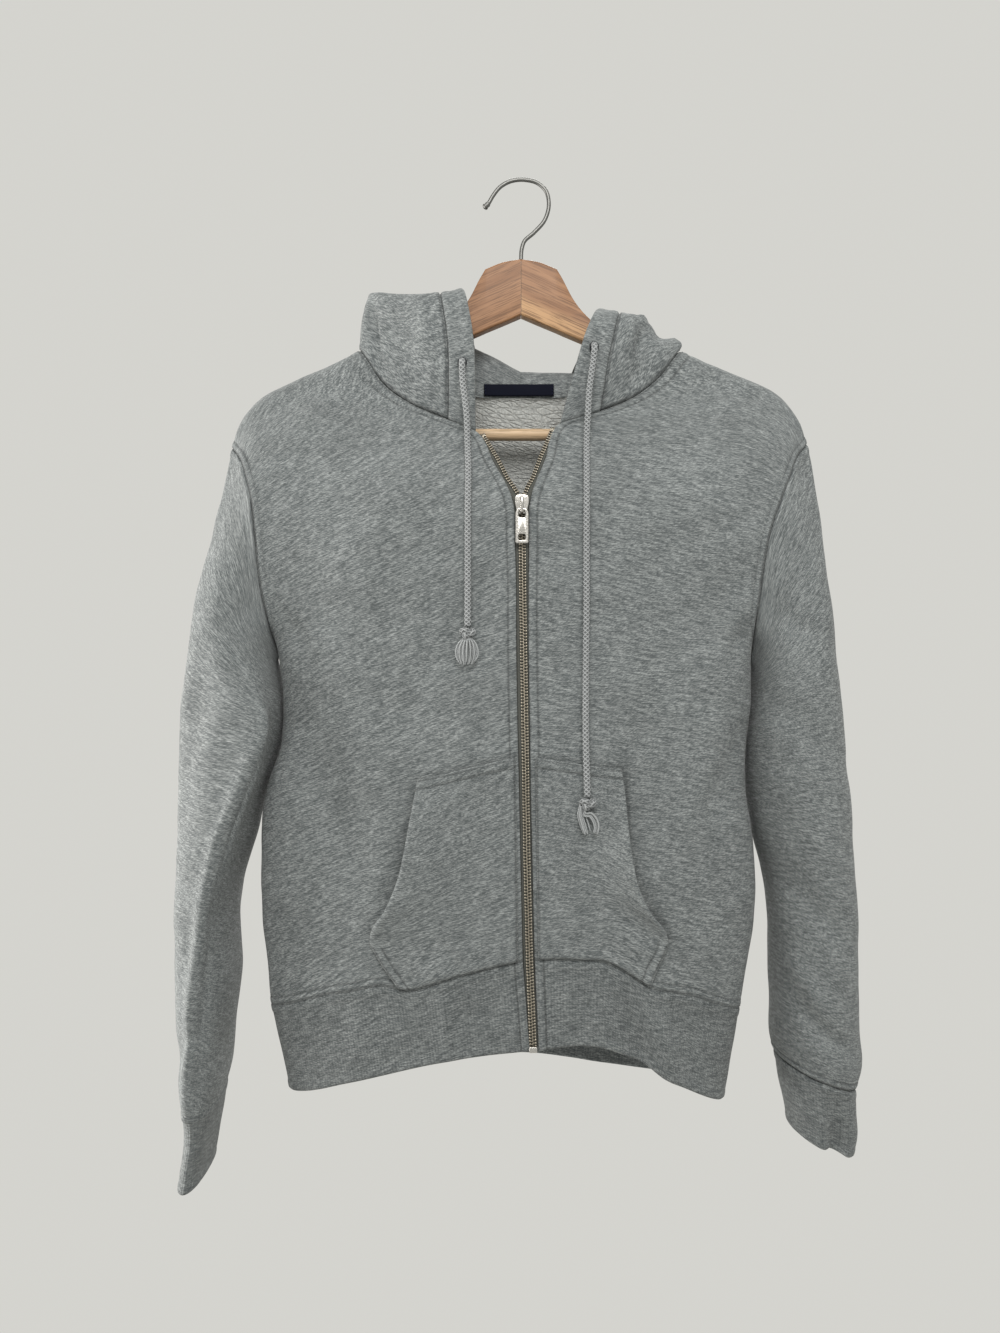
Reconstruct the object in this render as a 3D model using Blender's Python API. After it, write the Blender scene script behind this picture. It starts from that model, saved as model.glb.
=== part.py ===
"""A zip-up hooded sweatshirt hanging on a wooden hanger.

The origin is where the hanger hangs: the inside of the top of its hook. +Z is up, the
front of the garment faces -Y, and right and left are the wearer's, so right is -X.
Every cloth piece is a wall: a grid of points on its outer face, and the same grid moved
inwards by the thickness. Pieces that are sewn together share the points and the wall
direction of their seam, and stand a seam gap apart there. Sizes are in millimetres.
"""
import math

import bmesh
import bpy
import numpy as np

MM = 0.001
SEAM_GAP = 0.3
CLOTH = 2.5
HOOD_CLOTH = 3.0
RIB_CLOTH = 2.8

# ---------------------------------------------------------------- the body's sections
# Each row is one line across a front panel, from its zip or neck edge to its side seam
# or armhole. "open" goes from 0 at a folded side to 1 at the armhole, and "lift" is how
# far the line follows the shape of the shoulder.
# Columns: place, inner x y z, outer x y z, open, lift.
FRONT_RIGHT = (
    (0.00, -3.0, -80, -656, -211, -20, -705, 0.0, 0.00),
    (0.09, -4.0, -80, -612, -218, -20, -640, 0.0, 0.00),
    (0.18, -5.0, -78, -565, -221, -20, -585, 0.0, 0.00),
    (0.27, -6.0, -76, -515, -217, -20, -530, 0.0, 0.00),
    (0.35, -7.0, -74, -470, -203, -20, -480, 0.0, 0.00),
    (0.41, -7.5, -72, -440, -203, -20, -448, 0.0, 0.00),
    (0.47, -8.0, -70, -405, -207, -20, -411, 0.0, 0.00),
    (0.53, -8.0, -68, -365, -212, -42, -382, 0.7, 0.00),
    (0.60, -8.0, -66, -325, -217, -49, -350, 1.0, 0.00),
    (0.68, -8.5, -64, -287, -221, -50, -312, 1.0, 0.05),
    (0.76, -24.0, -52, -254, -225, -46, -284, 1.0, 0.20),
    (0.84, -39.0, -38, -226, -232, -37, -262, 1.0, 0.45),
    (0.89, -62.0, -35, -216, -236, -31, -253, 1.0, 0.60),
    (0.94, -92.0, -29, -202, -240, -25, -246, 1.0, 0.75),
    (1.00, -122.0, -19, -177, -245, -17, -240, 1.0, 0.90),
)
FRONT_LEFT = (
    (0.00, 10.5, -80, -655, 184, -20, -708, 0.0, 0.00),
    (0.09, 9.5, -80, -612, 193, -20, -650, 0.0, 0.00),
    (0.18, 8.5, -78, -565, 197, -20, -590, 0.0, 0.00),
    (0.27, 7.5, -76, -515, 190.5, -20, -528, 0.0, 0.00),
    (0.35, 7.0, -74, -470, 191, -20, -485, 0.0, 0.00),
    (0.41, 6.5, -72, -440, 194.5, -20, -450, 0.0, 0.00),
    (0.47, 6.0, -70, -405, 195, -20, -414, 0.0, 0.00),
    (0.53, 6.0, -68, -365, 195, -42, -384, 0.7, 0.00),
    (0.60, 6.0, -66, -325, 198, -49, -350, 1.0, 0.00),
    (0.68, 6.5, -64, -287, 204, -50, -314, 1.0, 0.05),
    (0.76, 19.0, -52, -252, 214, -46, -286, 1.0, 0.20),
    (0.84, 32.0, -38, -220, 226, -37, -261, 1.0, 0.45),
    (0.89, 66.0, -35, -209, 231, -31, -251, 1.0, 0.60),
    (0.94, 94.0, -29, -196, 236, -25, -243, 1.0, 0.75),
    (1.00, 120.0, -19, -173, 243, -17, -236, 1.0, 0.90),
)
# Lines across the back: the height and depth at its centre, then the depth of its edge
# at the side or armhole. The edge's place is that of the front line of the same height.
BACK = (
    (0.00, 26, -700, -20, 0.0, 0.00),
    (0.09, 28, -642, -20, 0.0, 0.00),
    (0.18, 30, -588, -20, 0.0, 0.00),
    (0.27, 31, -530, -20, 0.0, 0.00),
    (0.35, 31, -482, -20, 0.0, 0.00),
    (0.41, 30, -445, -20, 0.0, 0.00),
    (0.47, 30, -408, -20, 0.0, 0.00),
    (0.53, 30, -372, 0, 0.7, 0.00),
    (0.60, 30, -335, 9, 1.0, 0.05),
    (0.68, 29, -298, 13, 1.0, 0.15),
    (0.76, 27, -266, 15, 1.0, 0.35),
    (0.84, 25, -240, 15, 1.0, 0.55),
    (0.89, 24, -226, 14, 1.0, 0.70),
    (0.94, 23, -214, 13, 1.0, 0.82),
    (1.00, 22, -203, 11, 1.0, 0.92),
)
BACK_NECK = (19, -184)
NECK_POINT = {-1: (-140, 0, -148), 1: (138, 0, -149)}
SHOULDER_TIP = {-1: (-250, 0, -234), 1: (248, 0, -230)}
# How far the shoulder line stands above the straight line from neck point to tip.
SHOULDER_RISE = ((0, 0), (0.26, 7.6), (0.46, 15.3), (0.65, 22.4), (0.78, 25.5), (0.88, 23.0),
                 (0.95, 14.5), (1, 0))
# The back neckline's rise above the straight line from its centre to the neck point.
NECKLINE_RISE = ((0, 0), (0.32, -10.5), (0.57, -12.0), (0.78, -6.5), (0.92, 2.0), (1, 0))
NECKLINE_BEND = 6
# Waves of the seam above the hem band, and of the hem's edge, by the place across a front.
RIB_SEAM_WAVE = {-1: ((0, 0), (0.25, -1), (0.42, -4), (0.53, 5), (0.75, 6), (1, 0)),
                 1: ((0, 0), (0.12, 7), (0.33, 16), (0.45, 9), (0.56, 3), (0.7, 7), (1, 0))}
HEM_WAVE = {-1: ((0, 0), (0.2, 5), (0.45, 7.5), (0.7, 5.5), (1, 0)),
            1: ((0, 0), (0.15, 13), (0.34, 22), (0.55, 18), (0.64, 11), (0.85, 5), (1, 0))}
HEM_INNER = {-1: (2.5, -82, -726), 1: (13.5, -82, -726)}
HEM_OUTER = {-1: (-197, -20, -775), 1: (169, -20, -783)}
HEM_BACK = (22, -772)
SIDE_ROUNDNESS = 2.7
OPEN_ROUNDNESS = 2.4

FRONT_ACROSS = (0, 0.08, 0.18, 0.29, 0.41, 0.53, 0.64, 0.74, 0.83, 0.90, 0.955, 0.985, 1)
BACK_ACROSS = (0, 0.14, 0.28, 0.42, 0.518, 0.563, 0.65, 0.74, 0.83, 0.90, 0.955, 0.985, 1)
NECK_COLUMN = 5
BODY_PLACES = (0, 0.045, 0.09, 0.18, 0.27, 0.35, 0.41, 0.47, 0.482, 0.50, 0.53, 0.60, 0.68, 0.76, 0.84,
               0.89, 0.94, 1)
ARMPIT_ROW = 7
ZIP_TOP_ROW = 14
BAND_FOOT_ROW = 15
FOLD_STEPS = (0.35, 0.7, 1)

FRONT_OF = {-1: FRONT_RIGHT, 1: FRONT_LEFT}
SIDE_NAME = {-1: "right", 1: "left"}


# ---------------------------------------------------------------- curves and grids
def read_table(table, place):
    """The columns of a table at a place, on a smooth curve through its rows."""
    rows = np.array(table, float)
    places, values = rows[:, 0], rows[:, 1:]
    slopes = np.gradient(values, places, axis=0)
    i = int(np.clip(np.searchsorted(places, place) - 1, 0, len(places) - 2))
    step = places[i + 1] - places[i]
    t = (place - places[i]) / step
    start = values[i] * (2 * t ** 3 - 3 * t ** 2 + 1) + slopes[i] * step * (t ** 3 - 2 * t ** 2 + t)
    end = values[i + 1] * (3 * t ** 2 - 2 * t ** 3) + slopes[i + 1] * step * (t ** 3 - t ** 2)
    return start + end


def straight_table(table, place):
    """One column of a table at a place, on straight lines between its rows."""
    rows = np.array(table, float)
    return float(np.interp(place, rows[:, 0], rows[:, 1]))


def smooth_step(low, high, value):
    t = min(max((value - low) / (high - low), 0), 1)
    return t * t * (3 - 2 * t)


def wall_directions(points, ring=False):
    """Unit vectors out of a grid of points, by the cross product of its two directions."""
    if ring:
        along = np.roll(points, -1, axis=1) - np.roll(points, 1, axis=1)
    else:
        along = np.gradient(points, axis=1)
    up = np.gradient(points, axis=0)
    out = np.cross(along, up)
    return out / np.maximum(np.linalg.norm(out, axis=2, keepdims=True), 1e-9)


class Sheet:
    """A cloth piece: a grid of outer points and the direction out of the wall at each."""

    def __init__(self, points, ring=False, flip=False):
        self.points = np.array(points, float)
        self.ring = ring
        self.out = wall_directions(self.points, ring) * (-1 if flip else 1)

    def soften(self, times):
        """Even out the wall's direction between neighbouring points."""
        for _ in range(times):
            padded = np.pad(self.out, ((1, 1), (1, 1), (0, 0)), mode="edge")
            above_and_below = padded[:-2, 1:-1] + padded[2:, 1:-1]
            blended = self.out * 2 + above_and_below + padded[1:-1, :-2] + padded[1:-1, 2:]
            self.out = blended / np.maximum(np.linalg.norm(blended, axis=2, keepdims=True), 1e-9)


def share_seam(first, first_places, second, second_places):
    """Give two sheets the same wall direction along the seam that joins them."""
    for a, b in zip(first_places, second_places):
        both = first.out[a] + second.out[b]
        both /= max(np.linalg.norm(both), 1e-9)
        first.out[a] = both
        second.out[b] = both


def draw_in(points, edges, gap):
    """Move the named edges of a grid towards its inside by a gap."""
    moved = points.copy()
    for edge in edges:
        here, inner = {"bottom": (0, 1), "top": (-1, -2)}.get(edge, (None, None))
        if here is not None:
            step = points[inner] - points[here]
            moved[here] += gap * step / np.linalg.norm(step, axis=1, keepdims=True)
        else:
            here, inner = {"start": (0, 1), "end": (-1, -2)}[edge]
            step = points[:, inner] - points[:, here]
            moved[:, here] += gap * step / np.linalg.norm(step, axis=1, keepdims=True)
    return moved


# ---------------------------------------------------------------- making the objects
def material(name, colour, roughness, metallic=0.0):
    made = bpy.data.materials.new(name)
    made.use_nodes = True
    shader = made.node_tree.nodes["Principled BSDF"]
    shader.inputs["Base Color"].default_value = (*colour, 1)
    shader.inputs["Roughness"].default_value = roughness
    shader.inputs["Metallic"].default_value = metallic
    return made


def add_object(name, points, faces, finish, smooth=True):
    """A mesh object from points in millimetres, its faces turned outwards."""
    mesh = bpy.data.meshes.new(name)
    mesh.from_pydata([tuple(float(c) * MM for c in p) for p in points], [], faces)
    shaped = bmesh.new()
    shaped.from_mesh(mesh)
    bmesh.ops.recalc_face_normals(shaped, faces=shaped.faces)
    shaped.to_mesh(mesh)
    shaped.free()
    if smooth:
        mesh.shade_smooth()
    mesh.materials.append(finish)
    made = bpy.data.objects.new(name, mesh)
    bpy.context.scene.collection.objects.link(made)
    return made


def add_wall(name, outer, inner, finish, ring=False):
    """A closed wall between two grids of the same size."""
    rows, columns = outer.shape[:2]
    points = np.concatenate([outer.reshape(-1, 3), inner.reshape(-1, 3)])
    half = rows * columns
    spans = columns if ring else columns - 1
    faces = []
    for r in range(rows - 1):
        for c in range(spans):
            n = (c + 1) % columns
            a, b, d, e = r * columns + c, r * columns + n, (r + 1) * columns + n, (r + 1) * columns + c
            faces.append((a, b, d, e))
            faces.append((half + e, half + d, half + b, half + a))
    for r in (0, rows - 1):
        for c in range(spans):
            n = (c + 1) % columns
            a, b = r * columns + c, r * columns + n
            faces.append((a, half + a, half + b, b))
    if not ring:
        for c in (0, columns - 1):
            for r in range(rows - 1):
                a, b = r * columns + c, (r + 1) * columns + c
                faces.append((a, b, half + b, half + a))
    return add_object(name, points, faces, finish)


def add_sheet(name, sheet, thickness, finish, edges=(), gap=SEAM_GAP / 2):
    """The solid of a sheet, drawn in by half a seam gap at its sewn edges."""
    outer = draw_in(sheet.points, edges, gap)
    shift = outer - sheet.points
    inner = sheet.points - sheet.out * thickness + shift
    return add_wall(name, outer, inner, finish, sheet.ring)


# ---------------------------------------------------------------- the body
def shoulder_seam(side, across):
    """A point of the shoulder seam, from the neck point (0) to the shoulder's tip (1)."""
    start, end = np.array(NECK_POINT[side], float), np.array(SHOULDER_TIP[side], float)
    point = start + (end - start) * across
    point[2] += straight_table(SHOULDER_RISE, across)
    return point


def side_profile(across, openness):
    """The share of a panel's depth that is left at a place across it."""
    folded = max(1 - across ** SIDE_ROUNDNESS, 0) ** (1 / SIDE_ROUNDNESS)
    opened = 1 - across ** OPEN_ROUNDNESS
    return folded + (opened - folded) * openness


def front_plain(side, across, place):
    """A point of a front panel, below the fold over the shoulder."""
    row = read_table(FRONT_OF[side], place)
    inner, outer, openness, lift = row[0:3], row[3:6], row[6], row[7]
    point = inner + (outer - inner) * across
    share = side_profile(across, min(max(openness, 0), 1))
    point[1] = outer[1] + (inner[1] - outer[1]) * share
    point[2] += lift * straight_table(SHOULDER_RISE, across)
    point[2] += straight_table(RIB_SEAM_WAVE[side], across) * (1 - smooth_step(0, 0.09, place))
    return point


def over_the_shoulder(below, top, fold):
    """A quarter turn from a line below the shoulder to the seam on top of it."""
    point = below + (top - below) * math.sin(fold * math.pi / 2)
    point[1] = below[1] + (top[1] - below[1]) * (1 - math.cos(fold * math.pi / 2))
    return point


def front_grid(side):
    rows = [[front_plain(side, u, v) for u in FRONT_ACROSS] for v in BODY_PLACES]
    for fold in FOLD_STEPS:
        rows.append([over_the_shoulder(front_plain(side, u, 1), shoulder_seam(side, u), fold)
                     for u in FRONT_ACROSS])
    return np.array(rows)


def back_top(side, across):
    """The top edge of the back: its neckline, then the shoulder seam."""
    neck_share = BACK_ACROSS[NECK_COLUMN]
    if across > neck_share:
        return shoulder_seam(side, (across - neck_share) / (1 - neck_share))
    t = across / neck_share
    start, end = np.array((0, *BACK_NECK), float), np.array(NECK_POINT[side], float)
    point = start + (end - start) * t
    point[1] = start[1] + (end[1] - start[1]) * t ** NECKLINE_BEND
    point[2] += straight_table(NECKLINE_RISE, t)
    return point


def back_plain(side, across, place):
    row = read_table(BACK, place)
    edge = read_table(FRONT_OF[side], place)[3:6]
    centre = np.array((0, row[0], row[1]), float)
    point = centre + (edge - centre) * across
    share = side_profile(across, min(max(row[3], 0), 1))
    point[1] = row[2] + (row[0] - row[2]) * share
    chord = BACK_NECK[1] + (SHOULDER_TIP[side][2] - BACK_NECK[1]) * across
    point[2] += row[4] * (back_top(side, across)[2] - chord)
    return point


def back_grid():
    columns = [(-1, u) for u in reversed(BACK_ACROSS)] + [(1, u) for u in BACK_ACROSS[1:]]
    rows = [[back_plain(side, u, v) for side, u in columns] for v in BODY_PLACES]
    for fold in FOLD_STEPS:
        rows.append([over_the_shoulder(back_plain(side, u, 1), back_top(side, u), fold)
                     for side, u in columns])
    return np.array(rows)


def hem_grid():
    """The hem band, from the right zip edge round the back to the left zip edge."""
    upper, lower = [], []
    for side, place, front in hem_columns():
        if front:
            inner, outer = np.array(HEM_INNER[side], float), np.array(HEM_OUTER[side], float)
            point = inner + (outer - inner) * place
            point[1] = outer[1] + (inner[1] - outer[1]) * side_profile(place, 0)
            point[2] += straight_table(HEM_WAVE[side], place)
            upper.append(front_plain(side, place, 0))
        else:
            centre, outer = np.array((-8, *HEM_BACK), float), np.array(HEM_OUTER[side], float)
            point = centre + (outer - centre) * place
            point[1] = outer[1] + (centre[1] - outer[1]) * side_profile(place, 0)
            upper.append(back_plain(side, place, 0))
        lower.append(point)
    upper, lower = np.array(upper), np.array(lower)
    return np.array([lower + (upper - lower) * t for t in (0, 0.3, 0.62, 0.86, 1)])


def hem_columns():
    """Places across the hem band: the side, the place across its panel, and if on a front."""
    columns = [(-1, u, True) for u in FRONT_ACROSS]
    columns += [(-1, u, False) for u in reversed(BACK_ACROSS[:-1])]
    columns += [(1, u, False) for u in BACK_ACROSS[1:]]
    columns += [(1, u, True) for u in reversed(FRONT_ACROSS[:-1])]
    return columns


# ---------------------------------------------------------------- the sleeves
# Each row is one ring: its point nearest the body, its outermost point, its front and
# back, where along it the front ridge stands, and how far it has left the armhole's shape.
# Columns: place, inner x z, outer x z, front y, back y, ridge, rounding.
SLEEVE_RIGHT = (
    (0.00, -208, -413, -251, -240, -50, 14, 0.50, 0.0),
    (0.06, -208.5, -417, -257, -272, -53, 18, 0.50, 0.3),
    (0.12, -209, -422, -264, -314, -57, 22, 0.48, 0.65),
    (0.18, -208, -430, -274, -358, -62, 26, 0.42, 0.9),
    (0.24, -206.5, -443, -281, -402, -67, 30, 0.30, 1.0),
    (0.31, -205.5, -465, -286, -450, -71, 34, 0.14, 1.0),
    (0.38, -210, -497, -288, -492, -74, 37, 0.12, 1.0),
    (0.46, -220, -533, -288.5, -532, -75, 38, 0.14, 1.0),
    (0.54, -229, -568, -289.5, -572, -74, 38, 0.22, 1.0),
    (0.62, -241, -606, -290.5, -614, -73, 37, 0.27, 1.0),
    (0.70, -244, -646, -290, -655, -72, 36, 0.36, 1.0),
    (0.78, -243.5, -690, -288.5, -701, -70, 34, 0.40, 1.0),
    (0.86, -249, -738, -286.5, -748, -67, 31, 0.42, 1.0),
    (0.94, -253, -776, -284, -781, -64, 28, 0.45, 1.0),
    (1.00, -259, -798, -280, -798, -58, 24, 0.45, 1.0),
)
SLEEVE_LEFT = (
    (0.00, 196, -416, 249, -236, -50, 14, 0.50, 0.0),
    (0.06, 197, -420, 254, -270, -53, 18, 0.50, 0.3),
    (0.12, 198, -425, 256, -314, -57, 22, 0.50, 0.65),
    (0.18, 198.5, -433, 259, -358, -61, 26, 0.50, 0.9),
    (0.24, 198, -446, 263, -400, -64, 29, 0.50, 1.0),
    (0.31, 196.5, -469, 268, -452, -66, 32, 0.50, 1.0),
    (0.38, 193, -499, 272, -495, -67, 34, 0.50, 1.0),
    (0.46, 194, -530, 275.5, -535, -67, 34, 0.50, 1.0),
    (0.54, 199.5, -564, 278.5, -574, -66, 33, 0.50, 1.0),
    (0.62, 208, -598, 281, -612, -65, 32, 0.50, 1.0),
    (0.70, 212.5, -636, 282.5, -650, -64, 31, 0.50, 1.0),
    (0.78, 214, -676, 283, -690, -62, 30, 0.50, 1.0),
    (0.86, 214, -714, 284.5, -728, -60, 28, 0.50, 1.0),
    (0.94, 215, -744, 288, -759, -57, 26, 0.50, 1.0),
    (1.00, 219, -757, 282, -781, -52, 22, 0.50, 1.0),
)
CUFF_RIGHT = (
    (0.00, -259, -798.4, -280, -798.4, -58, 24, 0.45, 1.0),
    (0.30, -260.5, -816, -283, -818, -55, 22, 0.45, 1.0),
    (0.70, -264.5, -838, -286.5, -843, -53, 21, 0.45, 1.0),
    (1.00, -267, -853, -288, -859, -52, 20, 0.45, 1.0),
)
CUFF_LEFT = (
    (0.00, 219.2, -757.4, 282, -781.4, -52, 22, 0.50, 1.0),
    (0.30, 221, -775, 284, -797, -50, 20, 0.50, 1.0),
    (0.70, 226, -799, 284.5, -819, -48, 19, 0.50, 1.0),
    (1.00, 229.5, -815, 281, -835, -47, 18, 0.50, 1.0),
)
SLEEVE_PLACES = (0, 0.03, 0.06, 0.12, 0.18, 0.24, 0.31, 0.38, 0.46, 0.54, 0.62, 0.70, 0.78, 0.86, 0.94,
                 0.98, 1)
CUFF_PLACES = (0, 0.3, 0.65, 1)
SLEEVE_OF = {-1: SLEEVE_RIGHT, 1: SLEEVE_LEFT}
CUFF_OF = {-1: CUFF_RIGHT, 1: CUFF_LEFT}
CUFF_FOLD_DEPTH = {-1: 0, 1: 12}
CUFF_FOLD_PLACE = 0.58
CUFF_FOLD_WIDTH = 0.13


def armhole_loop(side):
    """The armhole seam, from the armpit up its front and down its back to the armpit."""
    front = [front_plain(side, 1, v) for v in BODY_PLACES[ARMPIT_ROW:]]
    back = [back_plain(side, 1, v) for v in BODY_PLACES[ARMPIT_ROW:]]
    tip = shoulder_seam(side, 1)
    front += [over_the_shoulder(front[-1], tip, fold) for fold in FOLD_STEPS]
    back += [over_the_shoulder(back[-1], tip, fold) for fold in FOLD_STEPS[:-1]]
    return np.array(front + back[:0:-1])


def sleeve_ring(side, table, place, fold_depth=0.0):
    """One ring of a sleeve or cuff. Its first point is the one nearest the body."""
    loop = armhole_loop(side)
    count = len(loop)
    inner_x, inner_z, outer_x, outer_z, front, back, ridge, rounding = read_table(table, place)
    foot, tip = loop[0], loop[count // 2]
    chord = np.array((tip[0] - foot[0], tip[2] - foot[2]))
    length = np.linalg.norm(chord)
    ahead = chord / length
    aside = np.array((-ahead[1], ahead[0]))
    new_chord = np.array((outer_x - inner_x, outer_z - inner_z))
    new_length = np.linalg.norm(new_chord)
    new_ahead = new_chord / new_length
    new_aside = np.array((-new_ahead[1], new_ahead[0]))
    rounding = min(max(rounding, 0), 1)
    ring = []
    for i, point in enumerate(loop):
        offset = np.array((point[0] - foot[0], point[2] - foot[2]))
        share, bow, depth = offset @ ahead / length, offset @ aside, point[1]
        angle = 2 * math.pi * i / count
        round_share = (1 - math.cos(angle)) / 2
        middle, half = (front + back) / 2, (back - front) / 2
        round_depth = middle - half * math.copysign(abs(math.sin(angle)) ** 0.8, math.sin(angle))
        if i < count // 2:
            round_share += (ridge - 0.5) * math.sin(angle) ** 3
            dent = (round_share - CUFF_FOLD_PLACE) / CUFF_FOLD_WIDTH
            round_depth += fold_depth * math.exp(-dent * dent)
        share += (round_share - share) * rounding
        bow *= (1 - rounding)
        depth += (round_depth - depth) * rounding
        flat = np.array((inner_x, inner_z)) + new_ahead * share * new_length + new_aside * bow
        ring.append((flat[0], depth, flat[1]))
    return ring


def sleeve_grid(side):
    rings = [armhole_loop(side)]
    rings += [sleeve_ring(side, SLEEVE_OF[side], place) for place in SLEEVE_PLACES[1:]]
    return np.array(rings)


def cuff_grid(side):
    depth = CUFF_FOLD_DEPTH[side]
    return np.array([sleeve_ring(side, CUFF_OF[side], place, depth * place) for place in CUFF_PLACES])


# ---------------------------------------------------------------- the hood
# It rises from the neck, folds over and hangs down behind as an open pouch. Each row is
# one line of the cloth, from the neck seam at its place (0 at the band, 0.5 at the
# shoulder, 1 at the nape) to the hood's centre seam.
# Columns: place, rise, crest, over, behind, low, end, each an x y z.
CROWN = (0, 56, -400)
HOOD_RIGHT = (
    (0.00, (-62, -41, -160), (-68, -33, -112), (-69, -4, -108), (-62, 43, -131), (-36, 77, -210),
     (0, 90, -268)),
    (0.25, (-98, -29, -150), (-103, -22, -110), (-106, 12, -105), (-98, 57, -148), (-58, 84, -235),
     (0, 92, -300)),
    (0.50, (-139, -3, -126), (-135, 4, -103), (-135, 30, -115), (-127, 60, -188), (-82, 78, -290),
     (0, 88, -345)),
    (0.60, (-128, 11, -138), (-130, 17, -125), (-129, 29, -142), (-120, 42, -203), (-73, 63, -312),
     (0, 80, -368)),
    (0.70, (-103, 19, -151), (-106, 25, -126), (-112, 34, -138), (-110, 38, -225), (-62, 48, -345),
     (0, 66, -390)),
    (0.85, (-54, 21, -158), (-56, 25, -134), (-59, 33, -143), (-58, 38, -225), (-32, 44, -338),
     (0, 60, -396)),
    (1.00, (0, 22, -172), (0, 27, -161), (0, 34, -172), (0, 36, -240), (0, 41, -330), CROWN),
)
HOOD_LEFT = (
    (0.00, (72, -41, -172), (80, -34, -133), (84, -5, -120), (72, 42, -150), (38, 76, -222), (0, 90, -268)),
    (0.25, (98, -30, -160), (97, -26, -128), (104, 10, -127), (100, 57, -162), (60, 84, -240), (0, 92, -300)),
    (0.50, (140, -3, -142), (136, 7, -137), (134, 32, -146), (127, 60, -198), (82, 78, -292), (0, 88, -345)),
    (0.60, (126, 12, -145), (128, 18, -144), (127, 28, -162), (118, 42, -207), (73, 63, -315), (0, 80, -368)),
    (0.70, (101, 19, -160), (107, 26, -157), (115, 33, -177), (108, 36, -240), (62, 48, -345), (0, 66, -390)),
    (1.00, (0, 22, -172), (0, 27, -161), (0, 34, -172), (0, 36, -240), (0, 41, -330), CROWN),
)
# The opening edge of the hood's band, at the same six places along it.
BAND_EDGE = {
    -1: ((-40, -45, -160), (-47, -37, -112), (-52, -5, -100), (-49, 45, -107), (-25, 83, -187),
         (0, 93, -247)),
    1: ((48, -45, -162), (59, -38, -130), (65, -6, -117), (56, 42, -136), (24, 82, -202), (0, 93, -247)),
}
HOOD_OF = {-1: HOOD_RIGHT, 1: HOOD_LEFT}
HOOD_FRONT_PLACES = (0, 0.14, 0.30, 0.38, 0.45, 0.5)
HOOD_BACK_PLACES = (0.6, 0.7, 0.8, 0.9, 1)
HOOD_STEPS = 3
HOOD_SOFTENING = 2
BAND_CLOTH = 3.5


def line_through(points, steps):
    """Points on a smooth curve through a few points, with so many steps between each two."""
    table = [(i, *point) for i, point in enumerate(points)]
    count = (len(points) - 1) * steps
    return [read_table(table, i / steps) for i in range(count + 1)]


def hood_section(side, place):
    """The points of one line of the hood after its seam, read between the table's rows."""
    table = [(row[0], *[value for point in row[1:] for value in point]) for row in HOOD_OF[side]]
    return read_table(table, place).reshape(-1, 3)


def neck_seam(side):
    """The neck seam from the band's foot over the shoulder to the nape."""
    front = front_grid(side)[BAND_FOOT_ROW:, 0]
    back = [back_top(side, u) for u in reversed(BACK_ACROSS[:NECK_COLUMN])]
    return list(front) + back


def hood_grid(side):
    places = HOOD_FRONT_PLACES + HOOD_BACK_PLACES
    lines = []
    for seam, place in zip(neck_seam(side), places):
        section = hood_section(side, place)
        if place < 1:
            section[-1][0] = 0
        lines.append(line_through([seam, *section], HOOD_STEPS))
    return np.array(lines).transpose(1, 0, 2)


def band_grid(side):
    seam = [line[0] for line in hood_grid(side)]
    foot = front_grid(side)[ZIP_TOP_ROW, 0]
    edge = line_through([foot, *np.array(BAND_EDGE[side], float)], HOOD_STEPS)
    return np.array([[e, s] for e, s in zip(edge, seam)])


# ---------------------------------------------------------------- places on the fronts
def front_at(side, x, z):
    """The place across and up a front panel whose point has this x and z."""
    place = 0.3
    for _ in range(14):
        row = read_table(FRONT_OF[side], place)
        across = min(max((x - row[0]) / (row[3] - row[0]), 0), 1)
        here = front_plain(side, across, place)[2]
        there = front_plain(side, across, place + 0.01)[2]
        place = min(max(place + 0.01 * (z - here) / (there - here), 0.002), 1)
    return across, place


def front_out(side, across, place):
    """The direction out of a front panel."""
    step = 0.01
    ahead = front_plain(side, min(across + step, 1), place) - front_plain(side, max(across - step, 0), place)
    up = front_plain(side, across, place + step) - front_plain(side, across, place)
    out = np.cross(ahead, up) * side
    return out / np.linalg.norm(out)


def on_front(side, x, z, away):
    """A point a distance in front of a front panel's outer face."""
    across, place = front_at(side, x, z)
    return front_plain(side, across, place) + front_out(side, across, place) * away


# ---------------------------------------------------------------- the pockets
# The outer edge of each pocket from its foot up to its top corner: x, z, and how far the
# free edge of the opening stands off the front.
# Columns: place, x, z, stand-off.
POCKET_RIGHT = (
    (0.00, -98, -677, 0.0), (0.10, -110, -661, 0.0), (0.19, -121, -641, 0.2), (0.25, -119, -631, 3.0),
    (0.36, -107, -613, 8.0), (0.50, -97, -588, 9.0), (0.64, -92, -564, 9.0), (0.78, -88, -540, 7.0),
    (0.90, -85, -522, 3.0), (1.00, -84, -513, 0.0),
)
POCKET_LEFT = (
    (0.00, 100, -675, 0.0), (0.10, 106, -660, 0.0), (0.19, 114, -641, 0.2), (0.25, 111, -631, 3.0),
    (0.36, 99, -616, 8.0), (0.50, 89, -595, 9.0), (0.64, 84, -570, 9.0), (0.78, 81, -543, 7.0),
    (0.90, 79, -518, 3.0), (1.00, 77, -505, 0.0),
)
POCKET_OF = {-1: POCKET_RIGHT, 1: POCKET_LEFT}
# The pocket's inner edge beside the zip: its x at the foot and at the top, and the top's z.
POCKET_INNER = {-1: (-6.5, -8.5, -495), 1: (13.0, 11.0, -495)}
POCKET_LAY = 0.7
POCKET_ACROSS = (0, 0.2, 0.4, 0.58, 0.74, 0.88, 1)
POCKET_PLACES = (0, 0.07, 0.13, 0.19, 0.25, 0.36, 0.5, 0.64, 0.78, 0.9, 1)
POCKET_EDGE = 2.0
STAND_FROM = 0.55


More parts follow.
